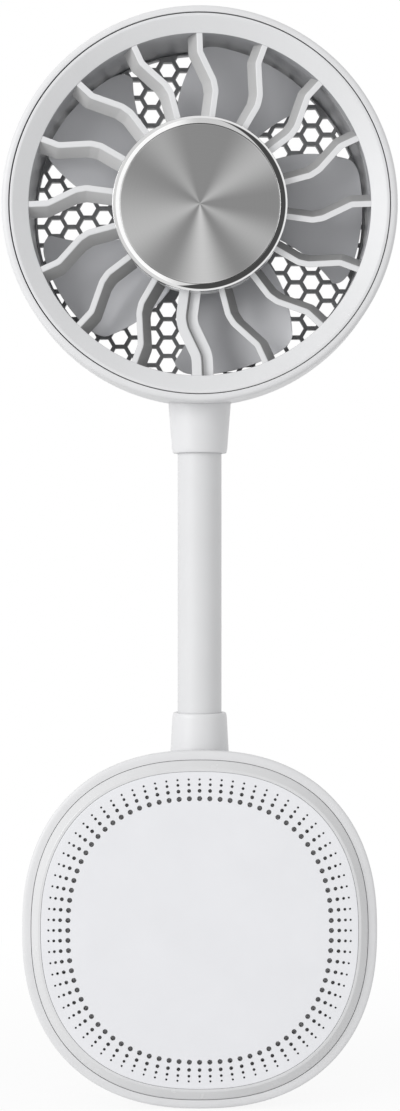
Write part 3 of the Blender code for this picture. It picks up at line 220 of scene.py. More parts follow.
# Rear grille and its screws
PLATE_RADIUS = 0.0190
HEX_PITCH = 0.00486
HEX_WEB = 0.0010
HEX_RIM = 0.0003
HEX_RIM_REACH = HEX_RIM * 1.1
HEX_SLIVER = 0.0007
CLIP_ROUNDS = 30
ARC_BITS = 6
PLATE_STEP = 0.0006
SCREW_CIRCLE = 0.0108
SCREW_COUNT = 3
SCREW_HEAD_RADIUS = 0.0015
SCREW_HEAD_HEIGHT = 0.0009
SCREW_SOCKET = 0.0004
SCREW_CROSS_WIDTH = 0.00045
SCREW_CROSS_REACH = SCREW_HEAD_RADIUS * 0.6
SCREW_SEAT_ROUND = 0.0001

# Neck collars
COLLAR_LIP = 0.0004
COLLAR_LIP_INSET = COLLAR_LIP * 0.6
COLLAR_LIP_BAND = 0.0009
SLEEVE_TUCK = 0.0030
SLEEVE_WALL = 0.00098
LOWER_LIP_RADIUS = STEM_RADIUS + 0.00137
UPPER_LIP_RADIUS = STEM_RADIUS + 0.00147
NECK_ROWS = 10

# Pod
POD_POWER = 2.33
POD_WIDEST_DEPTH = 0.0030
POD_TUCK = 0.0105
POD_BACK_ROUND = 0.0012
POD_SIDE_ROUND = POD_BACK_ROUND * 0.8
POD_WALL = 0.0020
SEAM_INSET = 0.0023
POD_SEAM_GAP = 0.00011
COVER_GAP = 0.00006
COVER_SQUASH = 0.99
COVER_RISE = 0.00025
SEAM_DEPTH = 0.0021
POD_FLOOR = 0.0026
BEZEL_WIDTH = 0.0026
BEZEL_RIM = 0.0007
BEZEL_RIM_DROP = 0.00008
BEZEL_SEAT = 0.0014
LEDGE_WIDTH = 0.0018
LEDGE_THICKNESS = 0.0012
COVER_EDGE = 0.0002
COVER_FLAT_INSET = COVER_EDGE * 4
PAD_INSET = 0.0125
PAD_EDGE = 0.0003
PAD_GROOVE_INSET = 0.0030
PAD_GROOVE_WIDTH = 0.0008
PAD_GROOVE_DEPTH = 0.0004
HOLE_COLUMNS = 84
# Rows of holes as (inset, radius)
HOLE_ROWS = ((0.01178, 0.00065), (0.0098, 0.00049), (0.0082, 0.00037), (0.00688, 0.000275))
STATION_STEPS = 40
BUTTON_LENGTH = 0.0120
BUTTON_WIDTH = 0.0052
BUTTON_SINK = 0.0002
BUTTON_RIM = 0.0007
BUTTON_DISH = 0.0003
SOCKET_WALL = 0.0003
SOCKET_FLOOR = SOCKET_WALL * 3
TONGUE_HALF_WIDTH = 0.0033
TONGUE_HALF_THICKNESS = 0.00035
TONGUE_SINK = 0.0012

# Places of the pieces
HEAD_PLACE = (0.0, RING_LEVEL, FAN_HEIGHT)
TRIM_PLACE = (TRIM_ASIDE, RING_LEVEL, FAN_HEIGHT - TRIM_DROP)
RING_PLACE = (
    RING_SHIFT * sin(radians(RING_SHIFT_CLOCK_DEG)),
    RING_LEVEL,
    FAN_HEIGHT + RING_SHIFT * cos(radians(RING_SHIFT_CLOCK_DEG)),
)
NECK_LINE = (0.0, NECK_PLACE, 0.0)
POD_PLACE = (0.0, COVER_LEVEL, 0.0)

# Moulded finishes by slot: colour, roughness, and the grain's size and height if unusual
GRAIN_SIZE = 0.00022
GRAIN_RELIEF = 0.000004
GRAIN_DETAIL = 4.0
MOULDED = {
    "shell_white": ((0.738, 0.740, 0.750), 0.42),
    "grille_white": ((0.725, 0.729, 0.739), 0.42),
    "bezel_white": ((0.705, 0.708, 0.716), 0.26, 0.00035, 0.000002),
    "cover_white": ((0.816, 0.821, 0.846), 0.46),
    "blade_grey": ((0.535, 0.54, 0.56), 0.36),
    # The duct's grey is also painted on the seam's wall round the grille, as painted shade
    "duct_grey_and_seam_shade": ((0.39, 0.395, 0.41), 0.45),
    # Grey on the walls of the cover's holes is painted shade
    "hole_wall_shade": ((0.42, 0.42, 0.425), 0.60, GRAIN_SIZE, 0.00001),
    "screen_grey": ((0.80, 0.80, 0.81), 0.60, GRAIN_SIZE, 0.00001),
    "mesh_grey": ((0.33, 0.332, 0.34), 0.50, 0.0003, 0.00001),
    "sleeve_rubber": ((0.704, 0.707, 0.716), 0.50, 0.00016, 0.000003),
    "pad_rubber": ((0.30, 0.31, 0.32), 0.72, 0.0004, 0.00003),
    "magnet_black": ((0.04, 0.04, 0.045), 0.60, GRAIN_SIZE, 0.00001),
    "inner_black": ((0.05, 0.05, 0.05), 0.60, GRAIN_SIZE, 0.00001),
    "cell_wrap": ((0.10, 0.26, 0.50), 0.35, 0.0008),
    "cable_black": ((0.03, 0.03, 0.03), 0.55, GRAIN_SIZE, 0.00001),
}
DRIFT_PLACES = (0.3, 0.7)
DRIFT_SIZE = 0.012
DRIFT_DEPTH = 0.012
GLOSS_SIZE = 0.004
GLOSS_DRIFT = 0.04

# Finishes with painted shade and painted highlights: stops are (degrees clockwise from the top,
# tone), and the disc's painted highlight lobes are (start, peak, end, tone of the peak)
FLANK_DRIFT_DEPTH = 0.015
FLANK_ROUGHNESS = 0.40
# Painted shade on the sides of the vanes, by clock, beside the trim and out at the duct
FLANK_NEAR_SHADE_STOPS = (
    (0.0, 0.66), (50.0, 0.52), (80.0, 0.30), (125.0, 0.17),
    (215.0, 0.21), (245.0, 0.42), (275.0, 0.66), (360.0, 0.66),
)
FLANK_FAR_SHADE_STOPS = (
    (0.0, 0.50), (50.0, 0.47), (80.0, 0.40), (125.0, 0.36),
    (215.0, 0.31), (245.0, 0.40), (275.0, 0.54), (360.0, 0.50),
)
STEEL_ROUGHNESS = 0.30
DISC_ROUGHNESS = 0.34
DISC_TONE = 0.250
# Painted highlights on the spun disc: bright lobes by clock, and a brighter edge
DISC_HIGHLIGHT_LOBES = (
    (21.0, 54.0, 83.0, 0.455), (96.0, 120.0, 147.0, 0.425), (149.0, 177.0, 208.0, 0.57),
    (212.0, 245.0, 302.0, 0.46), (303.0, 327.0, 349.0, 0.375),
)
DISC_RING_PITCH = 0.00025
DISC_RING_DEPTH = 0.035
DISC_RING_RELIEF = 0.000002
DISC_EDGE_HIGHLIGHT_WIDTH = 0.0003
DISC_EDGE_HIGHLIGHT_GAIN = 1.45
TRIM_ROUGHNESS = 0.14
# Painted reflection on the trim: a bright rim glint, and a band painted light on one side and dark on
# the other, by clock
TRIM_RIM_WIDTH = 0.00045
TRIM_GLINT_GROWTH = 0.00035
TRIM_GLINT_WIDE_STOPS = (
    (0.0, 0.3), (50.0, 0.0), (175.0, 0.0), (215.0, 1.0), (320.0, 1.0), (360.0, 0.3),
)
TRIM_RIM_GLINT_STOPS = (
    (0.0, 0.78), (60.0, 0.84), (170.0, 0.84), (225.0, 0.66), (310.0, 0.66), (360.0, 0.78),
)
TRIM_BLUR = 0.00014
TRIM_BAND_HIGHLIGHT_STOPS = (
    (0.0, 0.60), (60.0, 0.62), (190.0, 0.70), (212.0, 0.98), (340.0, 0.98), (360.0, 0.60),
)
TRIM_DARK_REFLECTION_EDGE_STOPS = (
    (0.0, 0.95), (58.0, 0.08), (178.0, 0.0), (203.0, 1.0), (355.0, 1.0), (360.0, 0.95),
)
TRIM_DARK_REFLECTION_TONE = 0.060

# Camera, as the photograph was taken, on a sensor whose long side is 36 mm
CAMERA_DISTANCE = 0.525
CAMERA_HEIGHT = 0.0949
CAMERA_ASIDE = 0.0001
CAMERA_LENS_MM = 67.4
SENSOR_MM = 36.0

# Light
KEY_DISTANCE = 1.6
KEY_SIZE = 0.9
KEY_POWER = 11.0
KEY_OFF_AXIS_DEG = 50.0
KEY_CLOCK_DEG = -70.0
AMBIENT = 0.71
FLOOR_COLOR = (0.86, 0.86, 0.86)
FLOOR_ROUGHNESS = 0.9
FLOOR_REACH = 3.0
FLOOR_CLEARANCE = 0.0002
FLOOR_CAMERA_SHARE = 0.88
FLOOR_SHADE_REACH = 0.22


# Outlines, profiles and rings


def circle(radius, sides):
    turns = [2 * pi * step / sides for step in range(sides)]
    return [(radius * cos(turn), radius * sin(turn)) for turn in turns]


def pod_share(across, up, inset):
    """1 on the pod's outline drawn in by the inset, less within it and more beyond."""
    wide = abs(across / (POD_HALF_WIDTH - inset)) ** POD_POWER
    return wide + abs(up / (POD_HALF_HEIGHT - inset)) ** POD_POWER


def squircle(inset, sides=POD_SIDES):
    """Points of the pod's outline, drawn in by the inset."""
    points = []
    for step in range(sides):
        turn = 2 * pi * step / sides
        reach = pod_share(cos(turn), sin(turn), inset) ** (-1 / POD_POWER)
        points.append((reach * cos(turn), reach * sin(turn)))
    return points


def stadium(length, width, sides=SMALL_SIDES):
    """Points of a slot outline with round ends, longest along its second axis."""
    radius = width / 2
    reach = length / 2 - radius
    points = []
    for end, first in ((reach, 0.0), (-reach, pi)):
        for step in range(sides // 2 + 1):
            turn = first + pi * step / (sides // 2)
            points.append((radius * cos(turn), end + radius * sin(turn)))
    return points


def shifted(outline, place):
    return [(first + place[0], second + place[1]) for first, second in outline]


def rectangle(half_width, half_height):
    return [
        (-half_width, -half_height), (half_width, -half_height),
        (half_width, half_height), (-half_width, half_height),
    ]


def arc(centre, reach, start_deg, end_deg, steps, power=2.0):
    """Points of an ellipse arc in a profile's plane, squarer with a higher power."""
    points = []
    for step in range(steps + 1):
        turn = radians(start_deg + (end_deg - start_deg) * step / steps)
        shares = [
            copysign(abs(part) ** (2 / power), part) if abs(part) > TINY else 0.0
            for part in (cos(turn), sin(turn))
        ]
        points.append((centre[0] + reach[0] * shares[0], centre[1] + reach[1] * shares[1]))
    return points


def rounded(points, closed=True, steps=ROUND_STEPS):
    """Round the corners whose third value says how far back the round starts."""
    made = []
    for step, point in enumerate(points):
        here = Vector(point[:2])
        at_end = not closed and step in (0, len(points) - 1)
        if len(point) < 3 or at_end:
            made.append(tuple(here))
            continue
        before = here + (Vector(points[step - 1][:2]) - here).normalized() * point[2]
        after = here + (Vector(points[(step + 1) % len(points)][:2]) - here).normalized() * point[2]
        for bit in range(steps + 1):
            share = bit / steps
            made.append(tuple(before.lerp(here, share).lerp(here.lerp(after, share), share)))
    return made


def stand(points, level, axis):
    """Lift plane points to a level along X, Y or Z."""
    if axis == "X":
        return [(level, first, second) for first, second in points]
    if axis == "Y":
        return [(first, level, second) for first, second in points]
    return [(first, second, level) for first, second in points]


def turned_rings(profile, axis, sides):
    """Rings of a turned piece from (radius, level) points."""
    return [
        stand(circle(radius, sides), level, axis) if radius > 0 else stand([(0.0, 0.0)], level, axis)
        for radius, level in profile
    ]


def squircle_rings(profile):
    return [stand(squircle(inset), depth, "Y") for inset, depth in profile]


def prism(outline, low, high, axis):
    return ([stand(outline, low, axis), stand(outline, high, axis)], "flat")


def turned(points, closed=True, sides=HEAD_SIDES, axis="Y"):
    """A body turned from (radius, level) points, which is a ring if they close."""
    return (turned_rings(rounded(points, closed), axis, sides), "loop" if closed else "flat")


def swung(across, up, turn):
    """A point turned clockwise about the fan's axis."""
    return across * cos(turn) + up * sin(turn), up * cos(turn) - across * sin(turn)


# Meshes and pieces


def skin(edit, rings, ends):
    """Join rings with faces; the end rings are joined in a loop, filled flat or as strips."""
    rows = [[edit.verts.new(point) for point in ring] for ring in rings]
    pairs = list(zip(rows, rows[1:]))
    if ends == "loop":
        pairs.append((rows[-1], rows[0]))
    for low, high in pairs:
        count = max(len(low), len(high))
        for step in range(count):
            after = (step + 1) % count
            if len(low) == 1:
                edit.faces.new((low[0], high[step], high[after]))
            elif len(high) == 1:
                edit.faces.new((low[after], low[step], high[0]))
            else:
                edit.faces.new((low[step], high[step], high[after], low[after]))
    if ends == "loop":
        return
    for row in (rows[0], rows[-1]):
        if ends == "strip":
            for step in range(len(row) // 2 - 1):
                edit.faces.new((row[step], row[step + 1], row[-step - 2], row[-step - 1]))
        elif len(row) > 2:
            edit.faces.new(row)


def add_object(name, data):
    made = bpy.data.objects.new(name, data)
    bpy.context.scene.collection.objects.link(made)
    return made


def add_mesh(name, edit):
    """An object made of an edited mesh."""
    mesh = bpy.data.meshes.new(name)
    edit.to_mesh(mesh)
    edit.free()
    return add_object(name, mesh)


def new_solid(name, bodies, place=(0.0, 0.0, 0.0)):
    """An object made of closed bodies of rings, whose mesh holds its place."""
    edit = bmesh.new()
    for rings, ends in bodies:
        skin(edit, rings, ends)
    bmesh.ops.recalc_face_normals(edit, faces=edit.faces)
    bmesh.ops.translate(edit, verts=edit.verts, vec=place)
    return add_mesh(name, edit)


def shape_by(piece, operation, bodies, place=(0.0, 0.0, 0.0)):
    """Join a piece with closed bodies, or cut it with them."""
    tool = new_solid("tool", bodies, place)
    step = piece.modifiers.new("shape", "BOOLEAN")
    step.operation = operation
    step.object = tool
    step.solver = "EXACT"
    bpy.context.view_layer.update()
    graph = bpy.context.evaluated_depsgraph_get()
    shaped = bpy.data.meshes.new_from_object(piece.evaluated_get(graph))
    piece.modifiers.remove(step)
    before = piece.data
    piece.data = shaped
    shaped.name = piece.name
    bpy.data.meshes.remove(before)
    bpy.data.objects.remove(tool)


def paint(piece, slot):
    """Give a piece one finish, with no sliver faces, smooth faces and crisp corners."""
    edit = bmesh.new()
    edit.from_mesh(piece.data)
    bmesh.ops.dissolve_degenerate(edit, dist=WELD, edges=edit.edges)
    edit.to_mesh(piece.data)
    edit.free()
    piece.data.materials.clear()
    piece.data.materials.append(FINISHES[slot])
    piece.data.shade_smooth()
    piece.data.set_sharp_from_angle(angle=radians(SHARP_DEG))
    piece.modifiers.new("even_normals", "WEIGHTED_NORMAL").keep_sharp = True


def paint_where(piece, name, test):
    """Give a painted piece's faces a second finish where the test holds for one."""
    piece.data.materials.append(FINISHES[name])
    number = len(piece.data.materials) - 1
    for face in piece.data.polygons:
        if test(face):
            face.material_index = number


def dress(piece, slot, body, *nodes):
    """Paint a piece, put it on its body and let it stand for the nodes."""
    paint(piece, slot)
    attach(piece, body)
    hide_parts(*nodes)


# Finishes


def new_material(name, roughness, metallic=0.0):
    """A material, its node tree and its shader."""
    made = bpy.data.materials.new(name)
    made.use_nodes = True
    shader = made.node_tree.nodes["Principled BSDF"]
    shader.inputs["Roughness"].default_value = roughness
    shader.inputs["Metallic"].default_value = metallic
    return made, made.node_tree, shader


def node(tree, kind, inputs=(), **settings):
    """A shader node with its settings; an input is a value or another node's output."""
    made = tree.nodes.new(f"ShaderNode{kind}")
    for key, value in settings.items():
        setattr(made, key, value)
    for key, value in dict(inputs).items():
        if isinstance(value, bpy.types.NodeSocket):
            tree.links.new(value, made.inputs[key])
        else:
            made.inputs[key].default_value = value
    return made


def calc(tree, operation, *values):
    """Arithmetic on one or two numbers."""
    return node(tree, "Math", enumerate(values), operation=operation).outputs["Value"]


def vector(tree, operation, *values, result="Vector"):
    """Arithmetic on one or two vectors."""
    return node(tree, "VectorMath", enumerate(values), operation=operation).outputs[result]


def spread(tree, value, low, high, start=0.0, end=1.0, way="LINEAR"):
    """Map a value, which runs from start to end, onto the range from low to high."""
    inputs = {"Value": value, "From Min": start, "From Max": end, "To Min": low, "To Max": high}
    return node(tree, "MapRange", inputs, interpolation_type=way).outputs["Result"]


def mixed(tree, share, first, second):
    """A colour between two."""
    inputs = {"Fac": share, "Color1": first, "Color2": second}
    return node(tree, "MixRGB", inputs).outputs["Color"]


def place_output(tree):
    return node(tree, "TexCoord").outputs["Object"]


def noise(tree, size, detail=2.0, place=None):
    """Noise whose grains have about the given size."""
    inputs = {"Scale": 1 / size, "Detail": detail, "Vector": place or place_output(tree)}
    return node(tree, "TexNoise", inputs).outputs["Fac"]


def grey(tone):
    return (tone, tone, tone, 1.0)


def tinted(color, share):
    return (*[min(part * share, 1.0) for part in color], 1.0)


def ramp(tree, value, stops, way="LINEAR"):
    """Colour that follows a value through stops of (place, colour)."""
    made = node(tree, "ValToRGB", {"Fac": value})
    scale = made.color_ramp
    scale.interpolation = way
    for place, _ in stops[1:-1]:
        scale.elements.new(place)
    for element, (place, color) in zip(scale.elements, stops):
        element.position = place
        element.color = color
    return made.outputs["Color"]


def colored(tree, shader, color):
    tree.links.new(color, shader.inputs["Base Color"])


def mottled(tree, shader, color, size, depth):
    """Colour that drifts a little from place to place."""
    stops = list(zip(DRIFT_PLACES, (tinted(color, 1 - depth), tinted(color, 1 + depth))))
    colored(tree, shader, ramp(tree, noise(tree, size), stops))


def toned(tree, shader, tone, share):
    """Colour the surface by a tone times a share."""
    made = node(tree, "VectorMath", {0: tone, "Scale": share}, operation="SCALE")
    colored(tree, shader, made.outputs["Vector"])


def glossed(tree, shader, value, roughness, less, more):
    """Roughness that follows a value of 0 to 1."""
    gloss = spread(tree, value, roughness - less, roughness + more)
    tree.links.new(gloss, shader.inputs["Roughness"])


def bumped(tree, shader, height, distance):
    """Raise the surface by a height given as 0 to 1."""
    made = node(tree, "Bump", {"Height": height, "Distance": distance, "Strength": 1.0})
    tree.links.new(made.outputs["Normal"], shader.inputs["Normal"])


def moulded(name, color, roughness, grain=GRAIN_SIZE, relief=GRAIN_RELIEF):
    """Moulded plastic or rubber: a fine spark-eroded grain and slight drifts of tone and gloss."""
    made, tree, shader = new_material(name, roughness)
    mottled(tree, shader, color, DRIFT_SIZE, DRIFT_DEPTH)
    glossed(tree, shader, noise(tree, GLOSS_SIZE), roughness, GLOSS_DRIFT, GLOSS_DRIFT)
    bumped(tree, shader, noise(tree, grain, GRAIN_DETAIL), relief)
    return made


def steel_finish():
    """Drawn or ground steel with fine lines along the fan's axis."""
    made, tree, shader = new_material("steel", STEEL_ROUGHNESS, metallic=1.0)
    mottled(tree, shader, (0.55, 0.56, 0.58), size=0.006, depth=0.03)
    inputs = {"Vector": place_output(tree), "Scale": (1.0, 0.05, 1.0)}
    stretched = node(tree, "Mapping", inputs).outputs["Vector"]
    lines = noise(tree, size=0.0004, detail=3.0, place=stretched)
    glossed(tree, shader, lines, STEEL_ROUGHNESS, less=0.06, more=0.08)
    bumped(tree, shader, lines, distance=0.000002)
    return made


def from_axis(tree):
    """Place across the fan, from the middle of the trim."""
    away = vector(tree, "SUBTRACT", place_output(tree), TRIM_PLACE)
    return vector(tree, "MULTIPLY", away, (1.0, 0.0, 1.0))


def axis_radius(tree):
    """Distance from the fan's axis."""
    return vector(tree, "LENGTH", from_axis(tree), result="Value")


def clock_ramp(tree, stops):
    """Tone that follows the turn about the fan's axis, clockwise from the top."""
    parts = node(tree, "SeparateXYZ", {"Vector": from_axis(tree)}).outputs
    turn = calc(tree, "ARCTAN2", parts["X"], parts["Z"])
    share = calc(tree, "FRACT", calc(tree, "MULTIPLY", turn, 1 / (2 * pi)))
    return ramp(tree, share, [(degrees / 360, grey(tone)) for degrees, tone in stops], "EASE")


def flank_shade_finish():
    """Painted shade on the sides of the vanes: grey, darkest beside the trim, low down and on the
    right.
    """
    made, tree, shader = new_material("flank_shade", FLANK_ROUGHNESS)
    near = clock_ramp(tree, FLANK_NEAR_SHADE_STOPS)
    far = clock_ramp(tree, FLANK_FAR_SHADE_STOPS)
    # Painted shade: darker beside the trim, lighter out at the duct
    far_share = spread(tree, axis_radius(tree), 0.0, 1.0, CUP_RADIUS, DUCT_RADIUS)
    drift = spread(tree, noise(tree, DRIFT_SIZE), 1 - FLANK_DRIFT_DEPTH, 1 + FLANK_DRIFT_DEPTH)
    toned(tree, shader, mixed(tree, far_share, near, far), drift)
    bumped(tree, shader, noise(tree, GRAIN_SIZE, GRAIN_DETAIL), GRAIN_RELIEF)
    return made


def disc_highlight_stops():
    """Tones round the disc, from a base tone and its painted highlight lobes."""
    stops = [(0.0, DISC_TONE)]
    for start, middle, end, peak in DISC_HIGHLIGHT_LOBES:
        stops += [(start, DISC_TONE), (middle, peak), (end, DISC_TONE)]
    return stops + [(360.0, DISC_TONE)]


def spun_painted_highlight_finish():
    """Spun aluminium: a fan of painted highlight lobes round the axis and a painted highlight at its
    edge, over fine turning rings.
    """
    made, tree, shader = new_material("spun_metal", DISC_ROUGHNESS, metallic=1.0)
    radius = axis_radius(tree)
    inputs = {"W": radius, "Scale": 1 / DISC_RING_PITCH}
    rings = node(tree, "TexNoise", inputs, noise_dimensions="1D").outputs["Fac"]
    shade = spread(tree, rings, 1 - DISC_RING_DEPTH, 1 + DISC_RING_DEPTH)
    # Painted highlight along the disc's edge
    gain = spread(tree, radius, 1.0, DISC_EDGE_HIGHLIGHT_GAIN, DISC_RADIUS - DISC_EDGE_HIGHLIGHT_WIDTH, DISC_RADIUS)
    toned(tree, shader, clock_ramp(tree, disc_highlight_stops()), calc(tree, "MULTIPLY", shade, gain))
    bumped(tree, shader, rings, DISC_RING_RELIEF)
    return made


def past_share(tree, radius, edge):
    """0 to 1 over the blur just outside an edge."""
    return spread(tree, calc(tree, "SUBTRACT", radius, edge), 0.0, 1.0, end=TRIM_BLUR)


def chrome_painted_reflection_finish():
    """Polished ring with painted reflections: a painted bright rim round a band painted light on one
    side and dark on the other.
    """
    made, tree, shader = new_material("chrome", TRIM_ROUGHNESS, metallic=1.0)
    radius = axis_radius(tree)
    rim = TRIM_RADIUS - TRIM_RIM_WIDTH
    edge = spread(tree, clock_ramp(tree, TRIM_DARK_REFLECTION_EDGE_STOPS), DISC_RADIUS, rim)
    light = clock_ramp(tree, TRIM_BAND_HIGHLIGHT_STOPS)
    band = mixed(tree, past_share(tree, radius, edge), light, grey(TRIM_DARK_REFLECTION_TONE))
    narrow = rim - TRIM_BLUR
    edge = spread(tree, clock_ramp(tree, TRIM_GLINT_WIDE_STOPS), narrow, narrow - TRIM_GLINT_GROWTH)
    bright = clock_ramp(tree, TRIM_RIM_GLINT_STOPS)
    colored(tree, shader, mixed(tree, past_share(tree, radius, edge), band, bright))
    glossed(tree, shader, noise(tree, size=0.003), TRIM_ROUGHNESS, less=0.03, more=0.03)
    return made


def board_finish():
    """Green solder mask over darker copper traces."""
    made, tree, shader = new_material("board_green", roughness=0.40)
    inputs = {"Scale": 700.0, "Vector": place_output(tree)}
    cells = node(tree, "TexVoronoi", inputs, distance="MANHATTAN").outputs["Distance"]
    stops = ((0.0, (0.05, 0.27, 0.12, 1.0)), (1.0, (0.02, 0.16, 0.07, 1.0)))
    colored(tree, shader, ramp(tree, cells, stops))
    bumped(tree, shader, cells, distance=0.00003)
    return made


def winding_finish():
    """Copper wire laid in turns round the teeth."""
    made, tree, shader = new_material("copper", roughness=0.35, metallic=1.0)
    mottled(tree, shader, (0.72, 0.34, 0.16), size=0.002, depth=0.08)
    inputs = {"Scale": 1200.0, "Distortion": 0.4, "Vector": place_output(tree)}
    turns = node(tree, "TexWave", inputs, wave_type="RINGS", rings_direction="Y")
    bumped(tree, shader, turns.outputs["Fac"], distance=0.00008)
    return made


# Every finish, by the name of its slot in the record or as a piece's second one
FINISHES = {name: moulded(name, *look) for name, look in MOULDED.items()}
FINISHES["flank_shade"] = flank_shade_finish()
FINISHES["chrome"] = chrome_painted_reflection_finish()
FINISHES["spun_metal"] = spun_painted_highlight_finish()
FINISHES["steel"] = steel_finish()
FINISHES["copper"] = winding_finish()
FINISHES["board_green"] = board_finish()


# Head


def axis_distance(point):
    return hypot(point.x, point.z - FAN_HEIGHT)


def on_wall(face, radius, reach):
    """Whether a face is a wall round the fan's axis, within reach of a radius."""
    near = abs(axis_distance(face.center) - radius) < reach
    return near and abs(face.normal.y) < WALL_TURN


def on_duct(face):
    """Whether a face belongs to the bore of the duct."""
    past_rim = face.center.y - RING_LEVEL > RING_DISH
    return past_rim and on_wall(face, DUCT_RADIUS, EDGE_ROUND)


def on_seam(face):
    """Whether a face is the shell's wall of the seam round the grille, which gets painted shade."""
    return on_wall(face, RING_RADIUS + HEAD_SEAM_GAP, WALL_TOLERANCE)


def on_flank(face):
    """Whether a face is a side of a vane."""
    between = CUP_RADIUS + CUP_CLEAR < axis_distance(face.center) < DUCT_RADIUS - EDGE_ROUND
    return between and face.normal.y > -FLANK_TURN


def on_mesh_rim(face):
    """Whether a face belongs to the rim that holds the mesh's cut cells."""
    return axis_distance(face.center) > MESH_RADIUS - HEX_RIM_REACH


def neck_bar(radius, low, high):
    """A round bar along the neck's line, to cut with."""
    return prism(shifted(circle(radius, NECK_SIDES), (0.0, NECK_PLACE)), low, high, "Z")


def make_head_shell():
    """Outer housing with a rounded lip, a tucked tail and the duct wall inside."""
    seam = RING_RADIUS + HEAD_SEAM_GAP
    lip_reach = (HEAD_RADIUS - seam, HEAD_LIP_DEPTH)
    lip = arc((seam, HEAD_FRONT + HEAD_LIP_DEPTH), lip_reach, -90.0, 0.0, LIP_STEPS, LIP_POWER)
    lip[0] = (*lip[0], EDGE_ROUND)
    tail_reach = (HEAD_RADIUS - HEAD_TAIL_RADIUS, HEAD_BACK - HEAD_STRAIGHT_DEPTH)
    tail = arc((HEAD_TAIL_RADIUS, HEAD_STRAIGHT_DEPTH), tail_reach, 0.0, 90.0, TAIL_STEPS)
    tail[-1] = (*tail[-1], EDGE_ROUND)
    seat = MESH_BACK + GAP
    duct_start = RING_BACK + GAP
    duct_outside = DUCT_RADIUS + DUCT_WALL
    cavity = MESH_FRONT + GAP
    inside = [
        (INLET_RADIUS + INLET_FLARE, HEAD_BACK, EDGE_ROUND),
        (INLET_RADIUS, seat + INLET_LIP_DEPTH, SOFT_ROUND),
        (INLET_RADIUS, seat), (DUCT_RADIUS, seat), (DUCT_RADIUS, duct_start),
        (duct_outside, duct_start), (duct_outside, cavity),
        (seam - CAVITY_TAPER, cavity), (seam, HEAD_STRAIGHT_DEPTH),
    ]
    shell = new_solid("head_shell_skin", [turned(lip + tail + inside)], HEAD_PLACE)
    low = FAN_HEIGHT - HEAD_RADIUS - OVERRUN
    high = FAN_HEIGHT - duct_outside - GAP
    shape_by(shell, "DIFFERENCE", [neck_bar(UPPER_RADIUS + SEAM_GAP, low, high)])
    dress(shell, "shell_white", "head", "head_shell")
    paint_where(shell, "duct_grey_and_seam_shade", on_duct)
    # The seam's wall gets the duct's grey as painted shade, so that the seam reads as a dark line
    paint_where(shell, "duct_grey_and_seam_shade", on_seam)


def vane_path(kink_round):
    """Centre line of one vane from the ring to the cup, with its kinks rounded a little."""
    radii = [DUCT_RADIUS * share for share in VANE_RADIUS_SHARES]
    radii[0] += VANE_ANCHOR
    radii.append(CUP_RADIUS - VANE_ANCHOR)
    corners = []
    for turn_deg, radius in zip(VANE_TURNS_DEG, radii):
        turn = radians(turn_deg)
        corners.append((radius * sin(turn), radius * cos(turn), kink_round))
    return rounded(corners, closed=False)


def vane_section(low, high, sink, dip):
    """Points round a vane's section as (across, depth), with its front edges rounded."""
    back = VANE_DEPTH - sink * RIB_RISE_SHARE
    return rounded([
        (low, sink + dip, VANE_EDGE_ROUND),
        (high, sink, VANE_EDGE_ROUND),
        (high, back),
        (low, back),
    ], steps=VANE_ROUND_STEPS)


def vane_body(turn, kink_round=VANE_KINK_ROUND, strip=WHOLE_VANE):
    """One vane as rings along its path, sheared so that its back edge trails."""
    low, high, sink, lean, dip = strip
    path = vane_path(kink_round)
    front = RING_DISH + VANE_STEP
    rings = []
    for step, point in enumerate(path):
        before = Vector(path[max(step - 1, 0)])
        after = Vector(path[min(step + 1, len(path) - 1)])
        along = (after - before).normalized()
        ring = []
        for across, depth in vane_section(low, high, sink, dip):
            side = point[0] + along.y * across - lean * VANE_SHEAR * depth / VANE_DEPTH
            up = point[1] - along.x * across
            side, up = swung(side, up, turn)
            ring.append((side, front + depth, up))
        rings.append(ring)
    return (rings, "flat")


def make_front_grille():
    """Dished ring with its spigot, joined to the hub cup by kinked vanes."""
    spigot = DUCT_RADIUS + DUCT_WALL
    ring = [
        (DUCT_RADIUS, RING_DISH, EDGE_ROUND),
        (RING_RADIUS - RING_RIM, 0.0, EDGE_ROUND),
        (RING_RADIUS, 0.0, RING_EDGE_ROUND),
        (RING_RADIUS, RING_THICKNESS), (spigot, RING_THICKNESS),
        (spigot, RING_BACK), (DUCT_RADIUS, RING_BACK),
    ]
    grille = new_solid("front_grille_skin", [turned(ring)], RING_PLACE)
    bore = CUP_RADIUS - CUP_WALL
    cup = [
        (0.0, RING_BACK - CUP_FLOOR), (bore, RING_BACK - CUP_FLOOR), (bore, CUP_RECESS),
        (CUP_RADIUS, CUP_RECESS, EDGE_ROUND),
        (CUP_RADIUS, RING_BACK, EDGE_ROUND),
        (0.0, RING_BACK),
    ]
    shape_by(grille, "UNION", [turned(cup, closed=False)], TRIM_PLACE)
    turns = [2 * pi * step / VANE_COUNT for step in range(VANE_COUNT)]
    rib_turn = turns.pop(RIB_STEP)
    shape_by(grille, "UNION", [vane_body(turn) for turn in turns], HEAD_PLACE)
    for strip in RIB_STRIPS:
        rib = vane_body(rib_turn, RIB_KINK_ROUND, strip)
        shape_by(grille, "UNION", [rib], HEAD_PLACE)
    dress(grille, "grille_white", "head", "front_grille")
    paint_where(grille, "duct_grey_and_seam_shade", on_duct)
    # The sides of the vanes get painted shade, darkest low down and on the right
    paint_where(grille, "flank_shade", on_flank)


